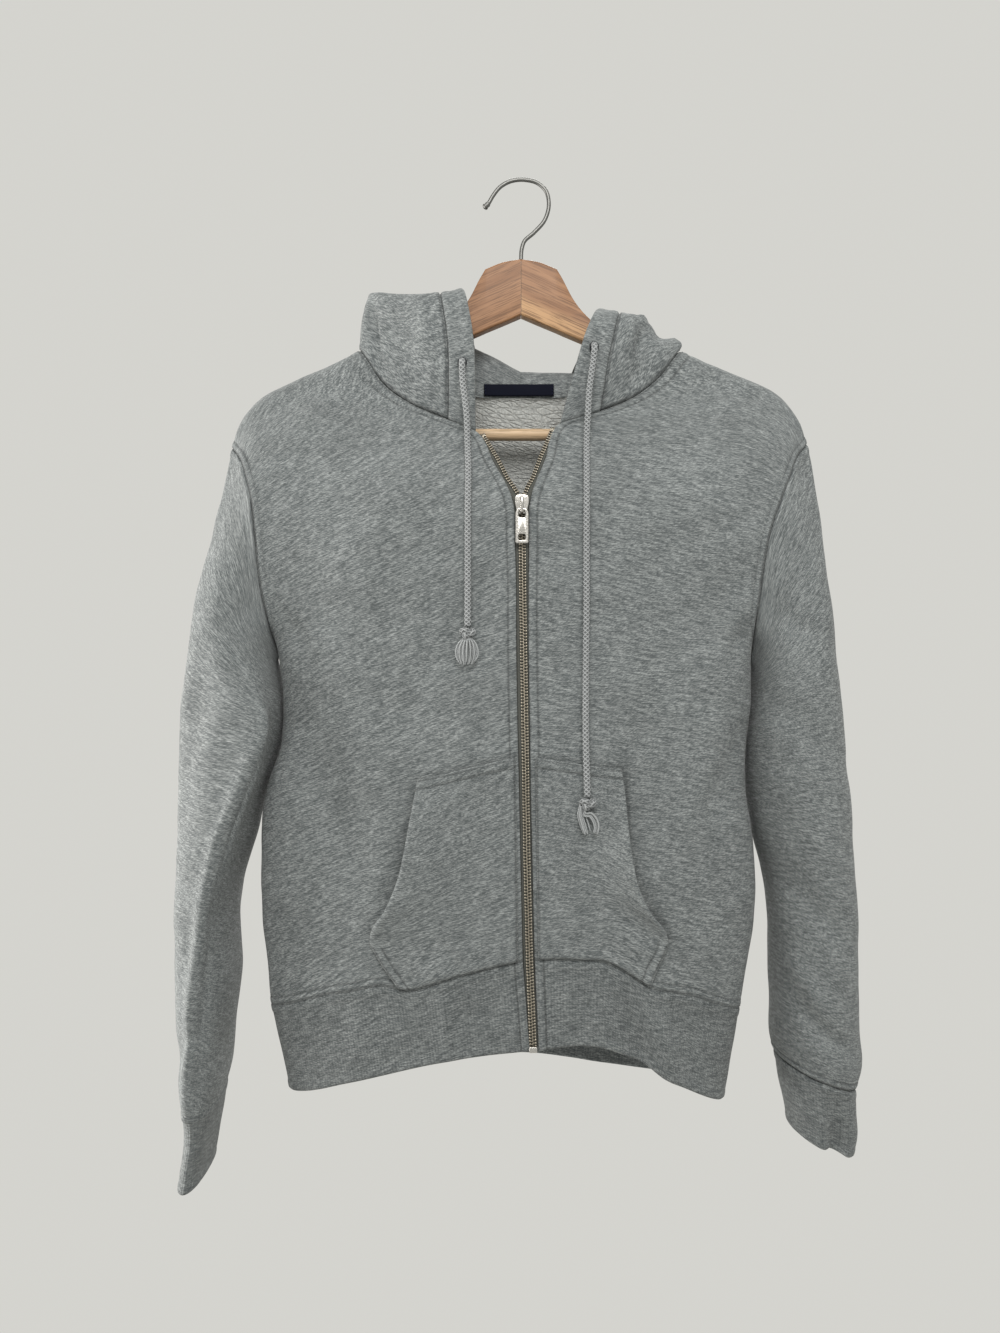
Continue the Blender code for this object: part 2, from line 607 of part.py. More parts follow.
def pocket_foot(side, x):
    """The pocket's lower edge, just above the seam of the hem band."""
    row = read_table(FRONT_OF[side], 0)
    across = (x - row[0]) / (row[3] - row[0])
    return np.array((x, front_plain(side, across, 0)[2] + POCKET_EDGE))


def pocket_place(side, u, v):
    """The x and z of a place on a pocket, blended from its four edges."""
    foot_x, top_x, top_z = POCKET_INNER[side]
    corner = read_table(POCKET_OF[side], 0)[0]
    top_corner = read_table(POCKET_OF[side], 1)[:2]
    bottom = pocket_foot(side, foot_x + (corner - foot_x) * u)
    top = np.array((top_x, top_z)) + (top_corner - (top_x, top_z)) * u
    start_foot, end_foot = pocket_foot(side, foot_x), pocket_foot(side, corner)
    start = start_foot + (np.array((top_x, top_z)) - start_foot) * v
    end = read_table(POCKET_OF[side], v)[:2] if v > 0 else end_foot
    corners = (start_foot * (1 - u) + end_foot * u) * (1 - v)
    corners += (np.array((top_x, top_z)) * (1 - u) + top_corner * u) * v
    return bottom * (1 - v) + top * v + start * (1 - u) + end * u - corners


def pocket_grid(side):
    rows = []
    for v in POCKET_PLACES:
        stand = max(read_table(POCKET_OF[side], v)[2], 0)
        row = []
        for u in POCKET_ACROSS:
            away = POCKET_LAY + CLOTH + stand * smooth_step(STAND_FROM, 1, u)
            row.append(on_front(side, *pocket_place(side, u, v), away))
        rows.append(row)
    return np.array(rows)


# ---------------------------------------------------------------- swept solids
def add_swept(name, rings, finish, smooth=True):
    """A closed solid through rings of points, with flat ends."""
    count = len(rings[0])
    points = [p for ring in rings for p in ring]
    faces = [tuple(range(count))[::-1], tuple(len(points) - count + i for i in range(count))]
    for r in range(len(rings) - 1):
        for i in range(count):
            n = (i + 1) % count
            faces.append((r * count + i, r * count + n, (r + 1) * count + n, (r + 1) * count + i))
    return add_object(name, points, faces, finish, smooth)


def add_box(name, low, high, finish):
    corners = [(x, y, z) for x in (low[0], high[0]) for y in (low[1], high[1]) for z in (low[2], high[2])]
    faces = [(0, 1, 3, 2), (4, 6, 7, 5), (0, 4, 5, 1), (2, 3, 7, 6), (0, 2, 6, 4), (1, 5, 7, 3)]
    return add_object(name, corners, faces, finish, False)


def add_round_rod(name, points, radius, finish, resolution=2):
    """A round rod along a route, as a curve with filled ends."""
    curve = bpy.data.curves.new(name, "CURVE")
    curve.dimensions = "3D"
    curve.bevel_depth = radius * MM
    curve.bevel_resolution = resolution
    curve.use_fill_caps = True
    spline = curve.splines.new("POLY")
    spline.points.add(len(points) - 1)
    for place, point in zip(spline.points, points):
        place.co = (*(float(c) * MM for c in point), 1)
    curve.materials.append(finish)
    made = bpy.data.objects.new(name, curve)
    bpy.context.scene.collection.objects.link(made)
    return made


def join_by_union(target, other):
    """Add another closed solid to an object by a Boolean union, and hide the other."""
    union = target.modifiers.new("union", "BOOLEAN")
    union.operation = "UNION"
    union.solver = "EXACT"
    union.object = other
    other.hide_render = True
    other.display_type = "WIRE"


# ---------------------------------------------------------------- the zip
ZIP_CENTRE = ((-730, 8), (-656, 5), (-577, 3), (-370, 0), (-288, -0.8))
TAPE_UNDER = 4.5
TAPE_DEPTH = 3.3
TAPE_THICK = 0.9
TEETH_WIDTH = 2.5
TEETH_TOP = 0.4
OPEN_TAPE_REACH = 5.5
ZIP_GAP = 0.2
PARTING_GAP = 2.2
ZIP_CLOSED_TO = 0.656
TAPE_PLACES = (0.045, 0.09, 0.18, 0.27, 0.35, 0.41, 0.47, 0.53, 0.60, ZIP_CLOSED_TO, 0.68, 0.76, 0.82)
STOP_SIZE = (6.5, 2.2, 4.5)


def zip_centre(z):
    return float(np.interp(z, [row[0] for row in ZIP_CENTRE], [row[1] for row in ZIP_CENTRE]))


def tape_path(side):
    """The zip edge of a front, from the hem's edge up to the neck: points and directions out."""
    low = np.array(HEM_INNER[side], float)
    seam = front_plain(side, 0, 0)
    out = front_out(side, 0.02, 0.01)
    path = [(low + (seam - low) * t, out, ZIP_GAP) for t in (0.02, 0.5, 0.95)]
    for v in TAPE_PLACES:
        above = next(i for i, place in enumerate(BODY_PLACES) if place >= v)
        share = (v - BODY_PLACES[above - 1]) / (BODY_PLACES[above] - BODY_PLACES[above - 1])
        ends = [front_plain(side, 0, BODY_PLACES[above - 1 + k]) for k in (0, 1)]
        gap = ZIP_GAP if v <= ZIP_CLOSED_TO else PARTING_GAP
        path.append((ends[0] + (ends[1] - ends[0]) * share, front_out(side, 0.02, v), gap))
    return path


def make_tape(side, finish):
    path = tape_path(side)
    rings = []
    for i, (edge, out, gap) in enumerate(path):
        ahead = path[min(i + 1, len(path) - 1)][0] - path[max(i - 1, 0)][0]
        inward = np.cross(out, ahead) * side
        inward /= np.linalg.norm(inward)
        reach = min(abs(zip_centre(edge[2]) - edge[0]) / abs(inward[0]) - gap, OPEN_TAPE_REACH + 3)
        if edge[2] > ZIP_CENTRE[-1][0] + 10:
            reach = OPEN_TAPE_REACH
        low, high = -TAPE_DEPTH - TAPE_THICK, -TAPE_DEPTH
        profile = ((-TAPE_UNDER, low), (reach, low), (reach, -TEETH_TOP), (reach - TEETH_WIDTH, -TEETH_TOP),
                   (reach - TEETH_WIDTH, high), (-TAPE_UNDER, high))
        rings.append([edge + inward * a + out * b for a, b in profile])
    add_swept("zip_tape_" + SIDE_NAME[side], rings, finish, False)


# The slider stands on the teeth where the fronts part. Its bridge holds the pull's bar.
SLIDER_HALF_WIDTH = 5.2
SLIDER_TOP, SLIDER_FOOT = -284.5, -300.0
SLIDER_FRONT = -65.0
PLATE = 1.4
SLIDER_CORE = 7.2
POST_HALF_WIDTH, POST_FOOT = 0.7, -288.5
BRIDGE_HALF_WIDTH, BRIDGE_WIRE = 1.0, 1.1
BRIDGE_HALF_HEIGHT, BRIDGE_OUT = 3.6, 4.6
PULL_AXIS_Z = -296.6
PULL_AXIS_OUT = 2.2
PULL_BAR = 1.2
PULL_THICK = 1.3
PULL_HALF_WIDTH = 5.2
PULL_HOLE_FOOT, PULL_HOLE_HALF = 5.6, 2.2
PULL_LENGTH = 27.5
PULL_LOW_HOLE = (22.0, 25.0, 2.0)


def make_slider(finish):
    centre = zip_centre(PULL_AXIS_Z)
    front = SLIDER_FRONT - TEETH_TOP
    left, right = centre - SLIDER_HALF_WIDTH, centre + SLIDER_HALF_WIDTH
    body = add_box("zip_slider", (left, front - PLATE, SLIDER_FOOT), (right, front, SLIDER_TOP), finish)
    back = front + SLIDER_CORE
    plate = add_box("slider_back_plate", (left, back, SLIDER_FOOT), (right, back + PLATE, SLIDER_TOP), finish)
    post = add_box("slider_post", (centre - POST_HALF_WIDTH, front - PLATE / 2, POST_FOOT),
                   (centre + POST_HALF_WIDTH, back + PLATE / 2, SLIDER_TOP - 0.4), finish)
    out, inside = front - PLATE - BRIDGE_OUT, front - PLATE - BRIDGE_OUT + BRIDGE_WIRE
    half, wire = BRIDGE_HALF_HEIGHT, BRIDGE_WIRE
    arch = ((front - PLATE / 2, half), (out, half), (out, -half), (front - PLATE / 2, -half),
            (front - PLATE / 2, -half + wire), (inside, -half + wire), (inside, half - wire),
            (front - PLATE / 2, half - wire))
    sides = (centre - BRIDGE_HALF_WIDTH, centre + BRIDGE_HALF_WIDTH)
    rings = [[(x, y, PULL_AXIS_Z + z) for y, z in arch] for x in sides]
    bridge = add_swept("slider_bridge", rings, finish, False)
    for extra in (plate, post, bridge):
        join_by_union(body, extra)


def make_pull(finish):
    """The pull tab: a bar held by the bridge, two side bars, a plate and its lower hole."""
    centre = zip_centre(PULL_AXIS_Z)
    depth = SLIDER_FRONT - TEETH_TOP - PLATE - PULL_AXIS_OUT
    near, far = depth - PULL_THICK / 2, depth + PULL_THICK / 2
    foot, top = PULL_AXIS_Z - PULL_LENGTH, PULL_AXIS_Z + PULL_BAR / 2
    wide = PULL_HALF_WIDTH
    pull = add_box("zip_pull", (centre - wide, near, foot), (centre + wide, far, top), finish)
    holes = ((PULL_BAR / 2, PULL_HOLE_FOOT, PULL_HOLE_HALF), PULL_LOW_HOLE)
    for i, (start, end, half) in enumerate(holes):
        cutter = add_box("pull_hole_%d" % i, (centre - half, near - 1, PULL_AXIS_Z - end),
                         (centre + half, far + 1, PULL_AXIS_Z - start), finish)
        cut = pull.modifiers.new("hole", "BOOLEAN")
        cut.operation = "DIFFERENCE"
        cut.solver = "EXACT"
        cut.object = cutter
        cutter.hide_render = True
        cutter.display_type = "WIRE"


def make_stop(finish):
    """The bottom stop, in front of the tapes at the hem's edge."""
    z = HEM_INNER[-1][2] + 2
    front = HEM_INNER[-1][1] - TEETH_TOP
    wide, thick, tall = STOP_SIZE
    centre = zip_centre(z)
    low = (centre - wide / 2, front - thick, z - tall / 2)
    add_box("zip_stop", low, (centre + wide / 2, front, z + tall / 2), finish)


# ---------------------------------------------------------------- label and drawcords
LABEL_HALF_WIDTH, LABEL_FOOT, LABEL_TOP, LABEL_THICK = 31.0, -182.6, -171.5, 0.8
LABEL_CENTRE = -1.5
LABEL_FACE = (15.2, 17.9)
CORD_RADIUS = 3.0
CORD_LAY = 0.4
# Each cord's route from its eyelet: x and z. Its depth is just in front of what it lies on.
CORD_ROUTE = {
    -1: ((-49.5, -173), (-49.2, -182), (-48.5, -192), (-47, -203), (-45.5, -218), (-45, -237), (-44, -262),
         (-44, -290), (-44, -333), (-44, -365), (-44, -391)),
    1: ((59.5, -160), (58.6, -170), (57, -181), (55, -196), (54, -214), (53, -232), (52, -262), (51.3, -290),
        (51, -330), (50.8, -371), (50, -430), (49.5, -487), (50.3, -525)),
}
CORD_POINTS = {-1: 26, 1: 40}
BAND_CORD_DEPTH = -49.2
KNOT_SIZE = (7.0, 5.5, 5.0)
KNOT_RISE = 8.0
TASSEL_LENGTH = {-1: 25.0, 1: 24.0}
STRANDS = 9
STRAND_RADIUS = 1.5
STRAND_SPREAD = 0.55


def make_label(finish):
    rings = []
    for x in np.linspace(-1, 1, 7):
        bend = 0.8 * x * x
        place = LABEL_CENTRE + x * LABEL_HALF_WIDTH
        rings.append([(place, LABEL_FACE[0] - bend, LABEL_FOOT), (place, LABEL_FACE[1] - bend, LABEL_TOP),
                      (place, LABEL_FACE[1] - bend - LABEL_THICK, LABEL_TOP),
                      (place, LABEL_FACE[0] - bend - LABEL_THICK, LABEL_FOOT)])
    add_swept("label", rings, finish, False)


def cord_points(side):
    """The centre line of a drawcord, close in front of the band and the front panel."""
    route = []
    zip_top = FRONT_OF[side][11][3]
    for x, z in CORD_ROUTE[side]:
        depth = BAND_CORD_DEPTH
        if z < zip_top:
            lowest = min(on_front(side, x, z + step, CORD_RADIUS + CORD_LAY)[1] for step in (-6, 0, 6))
            depth = min(depth, lowest)
        if z < POCKET_INNER[side][2] + 30 and side == 1:
            depth -= POCKET_LAY + CLOTH + POCKET_LAY
        if z < CORD_ROUTE[side][-1][1] + KNOT_RISE:
            depth -= KNOT_SIZE[1] - CORD_RADIUS + CORD_LAY
        route.append((x, depth, z))
    lengths = np.concatenate([[0], np.cumsum(np.linalg.norm(np.diff(np.array(route), axis=0), axis=1))])
    table = [(length, *point) for length, point in zip(lengths, route)]
    return [read_table(table, s) for s in np.linspace(0, lengths[-1], CORD_POINTS[side])]


def make_tassel(side, end, finish):
    """The knot in the cord's end, with the looped strands fused into it."""
    head_centre = end + np.array((0, 0, -KNOT_SIZE[2] - 0.3))
    rings = []
    for row in range(1, 6):
        angle = math.pi * row / 6
        wide, height = math.sin(angle), math.cos(angle)
        turns = [math.pi * k / 6 for k in range(12)]
        directions = [(wide * math.cos(turn), wide * math.sin(turn), height) for turn in turns]
        rings.append([head_centre + np.multiply(KNOT_SIZE, direction) for direction in directions])
    head = add_swept("tassel_" + SIDE_NAME[side], rings, finish)
    length = TASSEL_LENGTH[side]
    for k in range(STRANDS):
        angle = 2 * math.pi * k / STRANDS
        aside = np.array((math.cos(angle), math.sin(angle), 0))
        rings = []
        for t in (0, 0.35, 0.7, 1):
            reach = 3.6 + 4.2 * math.sin(min(t * 1.6, 1.4))
            middle = head_centre + aside * reach * (1, STRAND_SPREAD, 1)
            middle = middle + np.array((0, 0, -2 - (length - 7) * t))
            rings.append([middle + STRAND_RADIUS * (1 - 0.45 * t) * np.array((math.cos(b), math.sin(b), 0))
                          for b in (math.pi * q / 2 + 0.4 for q in range(4))])
        strand = add_swept("strand_%s_%d" % (SIDE_NAME[side], k), rings, finish)
        join_by_union(head, strand)


# ---------------------------------------------------------------- the hanger
# Each row is one section of a hanger arm: distance from the middle, top, underside and
# half the thickness. The end is deep enough to hold the bar.
# Columns: x, top, underside, half thickness.
ARM = (
    (0.15, -69.3, -118, 6), (16, -72, -124.8, 6), (31, -78, -131, 6), (36, -86.5, -133.3, 6),
    (44, -102.0, -136.7, 6), (60, -121.5, -143.4, 6), (80, -131.0, -151.9, 6), (100, -139.5, -160.4, 6),
    (140, -155.5, -177, 6), (180, -174.5, -197, 6), (193, -181.0, -206, 6), (195, -182, -227, 6),
    (205, -187, -232, 6),
    (213, -191, -233, 6), (219, -198, -230, 5.5), (222.5, -207, -222, 3.5),
)
ARM_SIDES = 12
ARM_SQUARENESS = 0.45
BAR_RADIUS, BAR_Z, BAR_HALF = 5.25, -220.7, 193.4
WIRE_RADIUS = 1.75
HOOK_ROUTE = (
    (0, -68.7), (0.6, -59), (2.6, -52.5), (11.3, -44.3), (20.6, -33.5), (24.3, -19), (21.8, -8), (14.4, -1),
    (5, 1.6), (-2.6, 1.8), (-10, 0.2), (-18.3, -4.6), (-24.7, -12.6), (-29, -19.6), (-32.6, -23),
)
HOOK_POINTS = 44


def make_hanger(wood, bar_wood, steel):
    for side in (-1, 1):
        rings = []
        for x, top, under, half in ARM:
            middle, tall = (top + under) / 2, (top - under) / 2
            ring = []
            for k in range(ARM_SIDES):
                angle = 2 * math.pi * (k + 0.5) / ARM_SIDES
                c, s = math.cos(angle), math.sin(angle)
                ring.append((side * x, half * math.copysign(abs(c) ** ARM_SQUARENESS, c),
                             middle + tall * math.copysign(abs(s) ** ARM_SQUARENESS, s)))
            rings.append(ring)
        arm = add_swept("hanger_arm_" + SIDE_NAME[side], rings, wood)
        arm.data.set_sharp_from_angle(angle=0.9)
    ring_of_bar = [[(x, BAR_RADIUS * math.cos(a), BAR_Z + BAR_RADIUS * math.sin(a))
                    for a in (math.pi * k / 8 for k in range(16))] for x in (-BAR_HALF, BAR_HALF)]
    bar = add_swept("hanger_bar", ring_of_bar, bar_wood)
    bar.data.set_sharp_from_angle(angle=0.9)
    route = [(x, 0, z) for x, z in HOOK_ROUTE]
    steps = np.linalg.norm(np.diff(np.array(route, float), axis=0), axis=1)
    lengths = np.concatenate([[0], np.cumsum(steps)])
    table = [(length, *point) for length, point in zip(lengths, route)]
    add_round_rod("hanger_hook", [read_table(table, s) for s in np.linspace(0, lengths[-1], HOOK_POINTS)],
                  WIRE_RADIUS, steel)


# ---------------------------------------------------------------- putting it together
def remove_everything():
    for old in list(bpy.data.objects):
        bpy.data.objects.remove(old, do_unlink=True)


def make_garment():
    knit = material("marl_knit", (0.42, 0.44, 0.46), 0.9)
    rib = material("rib_knit", (0.40, 0.42, 0.44), 0.9)
    fronts = {side: Sheet(front_grid(side), flip=side == -1) for side in (-1, 1)}
    back = Sheet(back_grid(), flip=True)
    hem = Sheet(hem_grid(), flip=True)
    join_body(fronts, back, hem)
    for side in (-1, 1):
        sleeve = Sheet(sleeve_grid(side), ring=True, flip=side == 1)
        cuff = Sheet(cuff_grid(side), ring=True, flip=side == 1)
        join_sleeve(fronts[side], back, sleeve, side)
        last = len(SLEEVE_PLACES) - 1
        ring = range(sleeve.points.shape[1])
        share_seam(sleeve, [(last, c) for c in ring], cuff, [(0, c) for c in ring])
        add_sheet("sleeve_" + SIDE_NAME[side], sleeve, CLOTH, knit, ("bottom", "top"), SEAM_GAP)
        add_sheet("cuff_" + SIDE_NAME[side], cuff, RIB_CLOTH, rib, ("bottom",))
    join_hood(fronts, back, knit)
    for side in (-1, 1):
        add_sheet("front_" + SIDE_NAME[side], fronts[side], CLOTH, knit, ("bottom", "top", "end"))
    add_sheet("back", back, CLOTH, knit, ("bottom", "top", "start", "end"), SEAM_GAP)
    add_sheet("hem_rib", hem, RIB_CLOTH, rib, ("top",))


def join_body(fronts, back, hem):
    """The side, shoulder and hem seams."""
    top, last_front, last_back = len(back.points) - 1, len(FRONT_ACROSS) - 1, back.points.shape[1] - 1
    below_arm = range(ARMPIT_ROW + 1)
    for side, back_edge in ((-1, 0), (1, last_back)):
        share_seam(fronts[side], [(r, last_front) for r in below_arm],
                   back, [(r, back_edge) for r in below_arm])
        fronts[side].out[ARMPIT_ROW, last_front] = back.out[ARMPIT_ROW, back_edge] = (0, 0, -1)
        for column in range(len(FRONT_ACROSS)):
            fronts[side].out[top, column] = shoulder_direction(side)
        for column in range(NECK_COLUMN, len(BACK_ACROSS)):
            back.out[top, last_back // 2 + side * column] = shoulder_direction(side)
    columns = hem.points.shape[1]
    hem_top = len(hem.points) - 1
    across, round_back = len(FRONT_ACROSS), back.points.shape[1]
    share_seam(hem, [(hem_top, c) for c in range(across)], fronts[-1], [(0, c) for c in range(across)])
    share_seam(hem, [(hem_top, across - 1 + c) for c in range(1, round_back - 1)],
               back, [(0, c) for c in range(1, round_back - 1)])
    share_seam(hem, [(hem_top, columns - 1 - c) for c in range(across)],
               fronts[1], [(0, c) for c in range(across)])


def join_centre(halves, places):
    """Keep the wall directions of two halves in the middle plane, where they are joined."""
    share_seam(halves[-1], places, halves[1], places)
    for half in halves.values():
        for place in places:
            half.out[place][0] = 0
            length = np.linalg.norm(half.out[place])
            half.out[place] = half.out[place] / length if length > 0.1 else (0, 0, -1)


def join_hood(fronts, back, knit):
    """The hood halves and their bands, on the neck seam."""
    top, middle = len(back.points) - 1, back.points.shape[1] // 2
    hoods = {side: Sheet(hood_grid(side), flip=side == -1) for side in (-1, 1)}
    for hood in hoods.values():
        hood.soften(HOOD_SOFTENING)
    bands = {side: Sheet(band_grid(side), flip=side == -1) for side in (-1, 1)}
    rows, last = hoods[-1].points.shape[:2]
    centre = [(r, last - 1) for r in range(rows)] + [(rows - 1, c) for c in range(last - 1)]
    join_centre(hoods, centre)
    join_centre(bands, [(rows - 1, 0), (rows - 1, 1)])
    for side in (-1, 1):
        hood, band, front = hoods[side], bands[side], fronts[side]
        front_places = range(BAND_FOOT_ROW, len(front.points))
        share_seam(hood, [(0, r - BAND_FOOT_ROW) for r in front_places],
                   front, [(r, 0) for r in front_places])
        first_back = len(HOOD_FRONT_PLACES)
        for i in range(len(HOOD_BACK_PLACES)):
            column = middle + side * (NECK_COLUMN - 1 - i)
            share_seam(hood, [(0, first_back + i)], back, [(top, column)])
        share_seam(band, [(r, 1) for r in range(rows)], hood, [(r, 0) for r in range(rows)])
        share_seam(band, [(0, 0)], front, [(ZIP_TOP_ROW, 0)])
        name = SIDE_NAME[side]
        add_sheet("hood_" + name, hood, HOOD_CLOTH, knit, ("bottom", "start", "end", "top"), SEAM_GAP)
        add_sheet("hood_band_" + name, band, BAND_CLOTH, knit, ("bottom", "end", "top"))


def shoulder_direction(side):
    slope = np.array(SHOULDER_TIP[side], float) - np.array(NECK_POINT[side], float)
    out = np.array((-slope[2], 0, slope[0])) * math.copysign(1, slope[0])
    return out / np.linalg.norm(out)


def join_sleeve(front, back, sleeve, side):
    """The armhole seam."""
    rows = range(ARMPIT_ROW, len(front.points))
    across = front.points.shape[1] - 1
    back_edge = 0 if side == -1 else back.points.shape[1] - 1
    count = sleeve.points.shape[1]
    share_seam(front, [(r, across) for r in rows], sleeve, [(0, r - ARMPIT_ROW) for r in rows])
    lower = range(ARMPIT_ROW + 1, len(front.points) - 1)
    share_seam(back, [(r, back_edge) for r in lower], sleeve, [(0, count - (r - ARMPIT_ROW)) for r in lower])
    sleeve.out[0, 0] = front.out[ARMPIT_ROW, across] = back.out[ARMPIT_ROW, back_edge] = (0, 0, -1)
    back.out[-1, back_edge] = front.out[-1, across]


def make_trims():
    """The pockets, zip, label and drawcords."""
    knit = bpy.data.materials["marl_knit"]
    tape = material("zip_tape", (0.16, 0.16, 0.13), 0.85)
    nickel = material("nickel", (0.72, 0.70, 0.66), 0.25, 1.0)
    navy = material("label_weave", (0.015, 0.02, 0.05), 0.8)
    braid = material("cord_braid", (0.62, 0.63, 0.64), 0.85)
    for side in (-1, 1):
        pocket = Sheet(pocket_grid(side), flip=side == -1)
        add_sheet("pocket_" + SIDE_NAME[side], pocket, CLOTH, knit)
        make_tape(side, tape)
        points = cord_points(side)
        add_round_rod("drawcord_" + SIDE_NAME[side], points, CORD_RADIUS, braid)
        make_tassel(side, points[-1], braid)
    make_slider(nickel)
    make_pull(nickel)
    make_stop(nickel)
    make_label(navy)


def make_hanger_set():
    wood = material("stained_wood", (0.52, 0.29, 0.15), 0.45)
    bar_wood = material("pale_wood", (0.72, 0.55, 0.36), 0.5)
    steel = material("steel_wire", (0.62, 0.62, 0.62), 0.3, 1.0)
    make_hanger(wood, bar_wood, steel)


remove_everything()
make_garment()
make_trims()
make_hanger_set()
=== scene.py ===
"""A zip-up hooded sweatshirt on a wooden hanger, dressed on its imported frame.

Tables of sizes are in millimetres and the objects in metres. The cloth is built on the same
sections as the solids, with finer grids, seams, stitches and soft folds.
"""
import math

import bmesh
import bpy
import numpy as np
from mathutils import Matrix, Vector


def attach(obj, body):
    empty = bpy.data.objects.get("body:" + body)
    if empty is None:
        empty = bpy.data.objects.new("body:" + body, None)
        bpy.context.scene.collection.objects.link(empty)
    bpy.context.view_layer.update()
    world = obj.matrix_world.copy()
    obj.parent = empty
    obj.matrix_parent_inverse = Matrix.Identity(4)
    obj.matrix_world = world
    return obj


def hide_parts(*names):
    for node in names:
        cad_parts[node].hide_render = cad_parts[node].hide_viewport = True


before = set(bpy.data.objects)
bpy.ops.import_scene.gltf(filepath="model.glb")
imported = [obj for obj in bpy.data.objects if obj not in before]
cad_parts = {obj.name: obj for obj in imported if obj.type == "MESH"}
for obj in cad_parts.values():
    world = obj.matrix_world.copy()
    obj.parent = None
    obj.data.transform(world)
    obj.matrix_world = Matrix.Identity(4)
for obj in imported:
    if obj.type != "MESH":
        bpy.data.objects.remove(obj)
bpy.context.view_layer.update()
BODY = "hoodie"
MM = 0.001
CLOTH = 2.5
HOOD_CLOTH = 3.0
RIB_CLOTH = 2.8

# ---------------------------------------------------------------- the body's sections
# Each row is one line across a front panel, from its zip or neck edge to its side seam
# or armhole. "open" goes from 0 at a folded side to 1 at the armhole, and "lift" is how
# far the line follows the shape of the shoulder.
# Columns: place, inner x y z, outer x y z, open, lift.
FRONT_RIGHT = (
    (0.00, -3.0, -80, -656, -211, -20, -705, 0.0, 0.00),
    (0.09, -4.0, -80, -612, -218, -20, -640, 0.0, 0.00),
    (0.18, -5.0, -78, -565, -221, -20, -585, 0.0, 0.00),
    (0.27, -6.0, -76, -515, -217, -20, -530, 0.0, 0.00),
    (0.35, -7.0, -74, -470, -203, -20, -480, 0.0, 0.00),
    (0.41, -7.5, -72, -440, -203, -20, -448, 0.0, 0.00),
    (0.47, -8.0, -70, -405, -207, -20, -411, 0.0, 0.00),
    (0.53, -8.0, -68, -365, -212, -42, -382, 0.7, 0.00),
    (0.60, -8.0, -66, -325, -217, -49, -350, 1.0, 0.00),
    (0.68, -8.5, -64, -287, -221, -50, -312, 1.0, 0.05),
    (0.76, -24.0, -52, -254, -225, -46, -284, 1.0, 0.20),
    (0.84, -39.0, -38, -226, -232, -37, -262, 1.0, 0.45),
    (0.89, -62.0, -35, -216, -236, -31, -253, 1.0, 0.60),
    (0.94, -92.0, -29, -202, -240, -25, -246, 1.0, 0.75),
    (1.00, -122.0, -19, -177, -245, -17, -240, 1.0, 0.90),
)
FRONT_LEFT = (
    (0.00, 10.5, -80, -655, 184, -20, -708, 0.0, 0.00),
    (0.09, 9.5, -80, -612, 193, -20, -650, 0.0, 0.00),
    (0.18, 8.5, -78, -565, 197, -20, -590, 0.0, 0.00),
    (0.27, 7.5, -76, -515, 190.5, -20, -528, 0.0, 0.00),
    (0.35, 7.0, -74, -470, 191, -20, -485, 0.0, 0.00),
    (0.41, 6.5, -72, -440, 194.5, -20, -450, 0.0, 0.00),
    (0.47, 6.0, -70, -405, 195, -20, -414, 0.0, 0.00),
    (0.53, 6.0, -68, -365, 195, -42, -384, 0.7, 0.00),
    (0.60, 6.0, -66, -325, 198, -49, -350, 1.0, 0.00),
    (0.68, 6.5, -64, -287, 204, -50, -314, 1.0, 0.05),
    (0.76, 19.0, -52, -252, 214, -46, -286, 1.0, 0.20),
    (0.84, 32.0, -38, -220, 226, -37, -261, 1.0, 0.45),
    (0.89, 66.0, -35, -209, 231, -31, -251, 1.0, 0.60),
    (0.94, 94.0, -29, -196, 236, -25, -243, 1.0, 0.75),
    (1.00, 120.0, -19, -173, 243, -17, -236, 1.0, 0.90),
)
# Lines across the back: the height and depth at its centre, then the depth of its edge
# at the side or armhole. The edge's place is that of the front line of the same height.
BACK = (
    (0.00, 26, -700, -20, 0.0, 0.00),
    (0.09, 28, -642, -20, 0.0, 0.00),
    (0.18, 30, -588, -20, 0.0, 0.00),
    (0.27, 31, -530, -20, 0.0, 0.00),
    (0.35, 31, -482, -20, 0.0, 0.00),
    (0.41, 30, -445, -20, 0.0, 0.00),
    (0.47, 30, -408, -20, 0.0, 0.00),
    (0.53, 30, -372, 0, 0.7, 0.00),
    (0.60, 30, -335, 9, 1.0, 0.05),
    (0.68, 29, -298, 13, 1.0, 0.15),
    (0.76, 27, -266, 15, 1.0, 0.35),
    (0.84, 25, -240, 15, 1.0, 0.55),
    (0.89, 24, -226, 14, 1.0, 0.70),
    (0.94, 23, -214, 13, 1.0, 0.82),
    (1.00, 22, -203, 11, 1.0, 0.92),
)
BACK_NECK = (19, -184)
NECK_POINT = {-1: (-140, 0, -148), 1: (138, 0, -149)}
SHOULDER_TIP = {-1: (-250, 0, -234), 1: (248, 0, -230)}
# How far the shoulder line stands above the straight line from neck point to tip.
SHOULDER_RISE = ((0, 0), (0.26, 7.6), (0.46, 15.3), (0.65, 22.4), (0.78, 25.5), (0.88, 23.0),
                 (0.95, 14.5), (1, 0))
# The back neckline's rise above the straight line from its centre to the neck point.
NECKLINE_RISE = ((0, 0), (0.32, -10.5), (0.57, -12.0), (0.78, -6.5), (0.92, 2.0), (1, 0))
NECKLINE_BEND = 6
